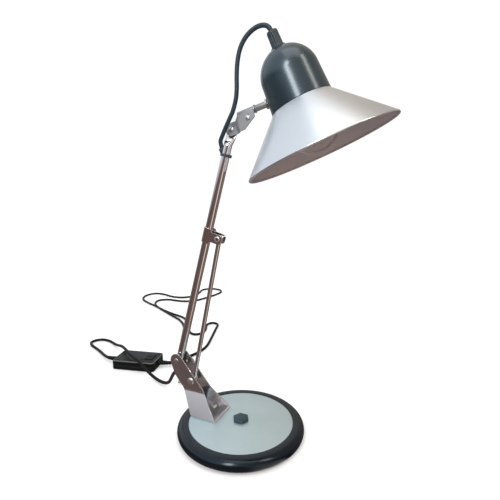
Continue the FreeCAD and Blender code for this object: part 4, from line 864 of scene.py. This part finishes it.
def make_tie():
    band = soften(lathe([(5.05, -1.65), (6.55, -1.65), (6.55, 1.65), (5.05, 1.65)], 64), 0.35)
    lock = soften(slab([(4.8, -3.4), (7.9, -3.4), (7.9, 1.0), (4.8, 1.0)], 3.6), 0.5)
    lock = moved(lock, shift(0, 0, -1.8))
    way = Vector((-8.7, -2.0, 12.0)).normalized()
    turn = way.to_track_quat("Z", "Y").to_matrix().to_4x4()
    eye = soften(lathe([(2.55, 5.0), (3.6, 5.0), (3.6, 10.6), (2.55, 10.6)], 40), 0.3)
    eye = moved(eye, turn, shift(-0.5, 0, 271.5 - TIE_HEIGHT))
    piece("cord_tie", [band, lock, eye], ARM @ shift(0, 0, TIE_HEIGHT), "black_plastic", "arm",
          ["cable_tie"])


def make_brace():
    low, high = (Vector(JOINTS[name]["pos_m"]) for name in ("brace_tilt", "clip_turn"))
    length = (high - low).length / MM
    shaft = rod(2.85, 2, length - 2, 48)
    eyes = []
    for height in (0, length):
        ring = lathe([(2.05, -2.8), (4.8, -2.8), (4.8, 2.8), (2.05, 2.8)], 56)
        eyes.append(moved(soften(ring, 0.7), NEAR, shift(0, 0, height)))
    piece("brace_bar", [shaft] + eyes, BRACE, "rod_chrome", "brace", ["brace_rod"])


CLIP_OUT = 6.35       # outside of the strap, from the tube's axis
CLIP_HALF = 9.25      # half its height
CLIP_RIVET = 16.75    # the rivet, forward of the tube's axis


def clip_sheet():
    """The strap's outer surface: half round at the back, with two ears that reach forward."""
    bm = line_of([(0, CLIP_OUT, -CLIP_HALF), (0, CLIP_OUT, CLIP_HALF)])
    bmesh.ops.spin(bm, geom=bm.verts[:] + bm.edges[:], cent=(0, 0, 0), axis=(0, 0, 1),
                   angle=math.pi, steps=24, use_merge=False, use_duplicate=False)
    tip = arc((18.4, 2.4), 3.6, 90, 0, 8) + arc((18.4, -2.4), 3.6, 0, -90, 8)
    ear = [(0, CLIP_HALF), (5.6, CLIP_HALF), (7.4, 6.0)] + tip
    ear += [(7.4, -6.0), (5.6, -CLIP_HALF), (0, -CLIP_HALF)]
    for side in (-1, 1):
        bm.faces.new([bm.verts.new((x, side * CLIP_OUT, z)) for x, z in ear])
    bmesh.ops.remove_doubles(bm, verts=bm.verts, dist=0.01)
    bmesh.ops.recalc_face_normals(bm, faces=bm.faces)
    back = min(bm.faces, key=lambda face: face.calc_center_median().x)
    if back.normal.x > 0:
        bmesh.ops.reverse_faces(bm, faces=bm.faces)
    return bm


def make_clip():
    strap = piece("clip_strap", [thicken(clip_sheet(), 1.1)], CLIP, "rod_chrome", "clip",
                  ["slide_clip"], sharp=50)
    flatten_shading(strap)
    heads = []
    for side in (NEAR, FAR):
        ring = [(1.5, -0.4), (3.7, -0.4), (3.7, 0.2), (3.3, 0.55), (2.5, 0.8), (1.8, 0.65),
                (1.5, 0.2)]
        heads.append(moved(lathe(ring, 48), shift(0, 0, 6.4), side, shift(CLIP_RIVET, 0, 0)))
        # Painted shade: a black disc just inside the rivet's bore stands in for the dark hole.
        painted_shade_disc = lathe([(0, 0.1), (1.55, 0.1), (1.55, 0.35), (0, 0.3)], 32, closed=False)
        for face in painted_shade_disc.faces:
            face.material_index = 1
        heads.append(moved(painted_shade_disc, shift(0, 0, 6.4), side, shift(CLIP_RIVET, 0, 0)))
    shank = lathe([(1.3, -6.3), (2.2, -6.3), (2.2, 6.3), (1.3, 6.3)], 32)
    heads.append(moved(shank, NEAR, shift(CLIP_RIVET, 0, 0)))
    piece("hollow_rivet", heads, CLIP, "zinc", "clip", ["clip_rivet"],
          finishes=["zinc", "black_plastic"])


# ---------------------------------------------------------------- wrist and spindle
LINK_ROUND = 7.4     # radius of the link's round end
LINK_OFF = 0.75      # the link's round end, off the lamp's middle plane
PLATE_OFF = 3.76     # and its outer plate


def wrist_sheet():
    """The link's near surface: round end, step and outer plate."""
    bm = bmesh.new()
    first = [(LINK_ROUND, LINK_ROUND)] + arc((0, 0), LINK_ROUND, 90, 270, 20)
    first.append((LINK_ROUND, -LINK_ROUND))
    low = [bm.verts.new((x, -LINK_OFF, z)) for x, z in first]
    bm.faces.new(low)
    second = [(10.8, -6.8), (17.3, -6.5), (32.7, 3.4), (32.7, SPINDLE_UP), (12.8, SPINDLE_UP),
              (10.8, 9.6)]
    high = [bm.verts.new((x, -PLATE_OFF, z)) for x, z in second]
    bm.faces.new(high)
    bm.faces.new([low[0], low[-1], high[0], high[-1]])
    face_near(bm)
    folds = [e for e in bm.edges if len(e.link_faces) == 2]
    bend(bm, folds, 0.9, 4)
    return bm


def make_wrist():
    link = piece("wrist_link", [thicken(wrist_sheet(), 1.5)], WRIST, "wrist_steel", "wrist",
                 ["wrist_bracket"], sharp=50)
    flatten_shading(link)
    roll = soften(lathe([(2.76, 12.2), (3.76, 12.2), (3.76, 32.7), (2.76, 32.7)], 56), 0.2)
    piece("wrist_sleeve", [moved(roll, FORWARD)], SPINDLE, "wrist_steel", "wrist")
    screw = soften(lathe([(0, 0), (2.6, 0), (2.6, 1.3), (0, 1.7)], 40, closed=False), 0.25)
    groove = soften(slab([(-1.9, -0.35), (1.9, -0.35), (1.9, 0.35), (-1.9, 0.35)], 0.25), 0.05)
    spin = turned("Z", 40)
    clamp = shift(23.7, 0, 4.84)
    shapes = [moved(screw, shift(0, 0, 3.8), NEAR, clamp),
              moved(groove, spin, shift(0, 0, 5.4), NEAR, clamp)]
    piece("clamp_screw_head", shapes, WRIST, "zinc", "wrist")


def make_spindle():
    line = [(0, 12.6), (2.7, 12.6), (2.7, 34.3), (3.6, 34.4), (3.6, 47.4), (2.7, 47.5), (2.7, 59.1),
            (0, 59.1)]
    bar = soften(lathe(line, 48, closed=False), 0.2)
    piece("spindle_bar", [moved(bar, FORWARD)], SPINDLE, "wrist_steel", "head", ["spindle"])
    ring = soften(lathe([(2.75, 32.8), (4.7, 32.8), (4.7, 34.2), (2.75, 34.2)], 48), 0.25)
    piece("spindle_ring", [moved(ring, FORWARD)], SPINDLE, "zinc", "head", ["spindle_collar"])


# ---------------------------------------------------------------- head
def make_dome():
    outer = arc((0, 17), 31.6, 90, 0, 32) + [(31.9, 12), (33.35, -12.2), (33.4, -13)]
    inner = [(31.8, -13), (30.3, 12)] + arc((0, 17), 30.0, 0, 90, 32)
    shell = soften(lathe(outer + inner, 144, closed=False), 0.25, 2, 50)
    piece("dome_cap", [shell], HEAD, "dome_black", "head", ["dome"], sharp=50)


SHADE_TOP = -13.5    # faces below this that look inwards get the darker copy of the shade's metal, painted shade


def make_shade():
    bead = arc((82.9, -65.7), 1.3, 44, -215, 22)
    profile = [(33.4, -13.05), (34.5, -14.2)] + bead + [
        (33.1, -14.0), (32.7, -13.95), (29.9, -13.95), (29.9, -6), (30.8, -6), (30.8, -13.05)]
    shell = lathe(profile, 160)
    for face in shell.faces:
        middle = face.calc_center_median()
        outward = Vector((middle.x, middle.y, 0)).dot(face.normal)
        face.material_index = 1 if outward < -0.05 and middle.z < SHADE_TOP else 0
    piece("shade_spun", [shell], HEAD, "shade_silver", "head", ["shade"], sharp=40,
          finishes=["shade_silver", "shade_inside_shaded"])


def make_holder():
    body = [(0, 42.6), (12, 42.6), (15.5, 39.6), (19.5, 34.1), (19.5, 4.2), (18.9, 2.6),
            (17.1, 2.6), (16.9, 3.4), (16.9, 36.1), (0, 36.1)]
    piece("holder_moulded", [soften(lathe(body, 96, closed=False), 0.4)], HEAD, "black_plastic",
          "head", ["lamp_holder"])


def make_bulb():
    def outline(inset):
        ball = arc((0, -37.2), 30 - inset, -90, 35, 36)
        neck = [(18.2, -12.2), (14.3, -6.6), (13.3, -3.7), (12.4, 3.0), (12.4, 11.4)]
        return ball + [(radius - inset, height) for radius, height in neck]
    wall = outline(0) + outline(0.7)[::-1]
    piece("bulb_envelope", [lathe(wall, 96, closed=False)], HEAD, "bulb_glass", "head",
          ["bulb_glass"], sharp=60)


def wire(points, radius):
    """A thin round wire that follows points, in the same units as its radius."""
    sections = []
    for k, place in enumerate(points):
        way = points[min(k + 1, len(points) - 1)] - points[max(k - 1, 0)]
        sections.append(ring_about(place, way, radius, 8))
    return skin(sections)


COIL_HALF = 11.0       # half the filament's width
COIL_HEIGHT = -44      # where it hangs, in the head's frame
COIL_TURNS = 22
COIL_STEPS = 180


def make_filament():
    """The bulb's coiled filament on its two legs and two hooks."""
    legs = []
    for side in (-1, 1):
        bends = [(side * 2.0, 0, -14), (side * 3.0, 0, -20), (side * COIL_HALF, 0, COIL_HEIGHT)]
        legs.append(wire([Vector(place) for place in bends], 0.4))
    hooks = []
    for x, y in ((-3.5, 6.0), (3.5, 6.0)):
        bends = [(0, 0, -14), (x, y, -27), (x * 1.5, y * 1.5, COIL_HEIGHT - 1.5)]
        hooks.append(wire([Vector(place) for place in bends], 0.25))
    coil = []
    for k in range(COIL_STEPS + 1):
        swing = math.pi * k / COIL_STEPS
        bow = math.sin(swing)
        middle = (-COIL_HALF * math.cos(swing), 9.0 * bow, COIL_HEIGHT - 1.5 * bow)
        twist = 2 * COIL_TURNS * swing
        coil.append(Vector(middle) + Vector((0, 0.7 * math.cos(twist), 0.7 * math.sin(twist))))
    piece("filament_wires", legs + hooks + [wire(coil, 0.25)], HEAD, "tungsten", "head",
          sharp=60)


def grip_ring(radius, height, depth, count=96, flutes=12):
    """A section of the grip, with hollows of the given depth round it."""
    points = []
    for k in range(count):
        swing = 2 * math.pi * k / count
        r = radius - depth * (0.5 + 0.5 * math.cos(flutes * swing)) ** 2
        points.append((r * math.cos(swing), r * math.sin(swing), height))
    return points


def make_grip():
    rows = [(7.0, 47.3, 0), (8.0, 47.5, 0), (8.2, 47.9, 0), (8.2, 49.1, 0), (7.9, 49.6, 0),
            (6.6, 49.8, 0), (6.4, 50.4, 0), (6.38, 51.2, 0.7), (6.3, 53.0, 0.75),
            (6.1, 60.0, 0.75), (6.05, 62.5, 0.7), (6.05, 63.3, 0), (6.0, 65.6, 0),
            (5.75, 66.5, 0), (5.2, 66.9, 0), (2.9, 66.9, 0), (2.7, 66.5, 0), (2.7, 55.0, 0)]
    sections = [grip_ring(*row) for row in rows]
    piece("cord_grip_fluted", [skin(sections)], HEAD, "black_plastic", "head", ["cord_grip"],
          sharp=45)


# ---------------------------------------------------------------- switch and plug on the lead
ROCKER_AT = 23    # along the switch, from its middle


def make_switch():
    """Rows of length, width, corner radius and height, from the bottom up."""
    sunk = [(74.6, 44.6, 4.3, 0.0), (75.4, 45.4, 4.7, 0.25), (76.0, 46.0, 5.0, 0.9),
            (76.0, 46.0, 5.0, 7.5), (75.3, 45.3, 4.7, 7.85), (74.4, 44.4, 4.2, 7.9)]
    lower = skin([rounded(a, b, r, z) for a, b, r, z in sunk])
    bottom = piece("switch_lower", [lower], SWITCH, "switch_black", "base",
                   ["switch_base", "switch_screws"], sharp=50)
    crown = [(74.4, 44.4, 4.2, 8.05), (75.4, 45.4, 4.7, 8.15), (76.0, 46.0, 5.0, 8.55),
             (76.0, 46.0, 5.0, 13.9), (75.6, 45.6, 4.9, 15.0), (74.6, 44.6, 4.5, 15.7),
             (73.0, 43.0, 4.0, 16.0)]
    rings = [rounded(a, b, r, z) for a, b, r, z in crown]
    window = [(16.6, 22.6, 1.6, 16.0), (16.0, 22.0, 1.4, 16.5), (14.4, 20.4, 0.9, 16.5),
              (13.7, 19.7, 0.6, 16.2), (13.6, 19.6, 0.5, 12.6)]
    rings += [rounded(a, b, r, z, (ROCKER_AT, 0)) for a, b, r, z in window]
    top = piece("switch_upper", [skin(rings)], SWITCH, "switch_black", "base", ["switch_cover"],
                sharp=50)
    rocker_rows = [(12.6, 18.4, 0.8, 13.4), (13.0, 19.0, 0.9, 14.2), (13.0, 19.0, 0.9, 16.4),
                   (12.6, 18.6, 0.9, 17.1), (11.8, 17.8, 0.7, 17.4), (9.0, 9.0, 0.6, 16.7),
                   (6.0, 3.0, 0.4, 16.5)]
    rocker = skin([rounded(a, b, r, z, (ROCKER_AT, 0)) for a, b, r, z in rocker_rows])
    piece("switch_key", [rocker], SWITCH, "switch_black", "rocker", ["switch_rocker"], sharp=60)
    return bottom, top


def make_plug():
    """Rows of thickness, width, corner radius and height, from the cord to the pins."""
    rows = [(9.0, 13.6, 3.8, 0), (9.8, 14.6, 4.2, 0.5), (11.2, 16.6, 4.6, 4), (12.8, 21.5, 5.0, 10),
            (13.6, 25.6, 5.2, 16), (13.6, 26.0, 5.2, 20), (13.6, 26.0, 5.2, 33.6),
            (13.0, 25.4, 4.9, 34.6), (12.0, 24.4, 4.4, 35.0)]
    body = skin([rounded(a, b, r, z, (-6.8, 0)) for a, b, r, z in rows])
    return piece("plug_moulded", [moved(body, FORWARD)], PLUG, "plug_black", "base", ["plug_body"],
                 sharp=50)


def make_reliefs():
    lamp_line = followed(LAMP_ROUTE)[::-1]
    mains_line = followed(MAINS_ROUTE)
    shapes = [relief(line, start=0.0036, length=0.022, thick=0.0046, thin=0.0031)
              for line in (lamp_line, mains_line)]
    pair = piece("switch_sleeves", shapes, Matrix.Identity(4), "switch_black", "base",
                 ["switch_reliefs"], sharp=40)
    shape = relief(mains_line[::-1], start=0.0002, length=0.026, thick=0.0052, thin=0.0031)
    tail = piece("plug_sleeve", [shape], Matrix.Identity(4), "plug_black", "base",
                 ["plug_relief"], sharp=40)
    return pair, tail


make_base()
make_bracket()
make_tube()
make_tie()
make_brace()
make_clip()
make_wrist()
make_spindle()
make_dome()
make_shade()
make_holder()
make_bulb()
make_filament()
make_grip()
switch_lower, switch_upper = make_switch()
plug = make_plug()
switch_sleeves, plug_sleeve = make_reliefs()
lamp_cord, mains_cord, upper_cord, lower_cord = place_cords()

followed(LAMP_ROUTE)
followed(UPPER_ROUTE)
followed(LOWER_ROUTE)
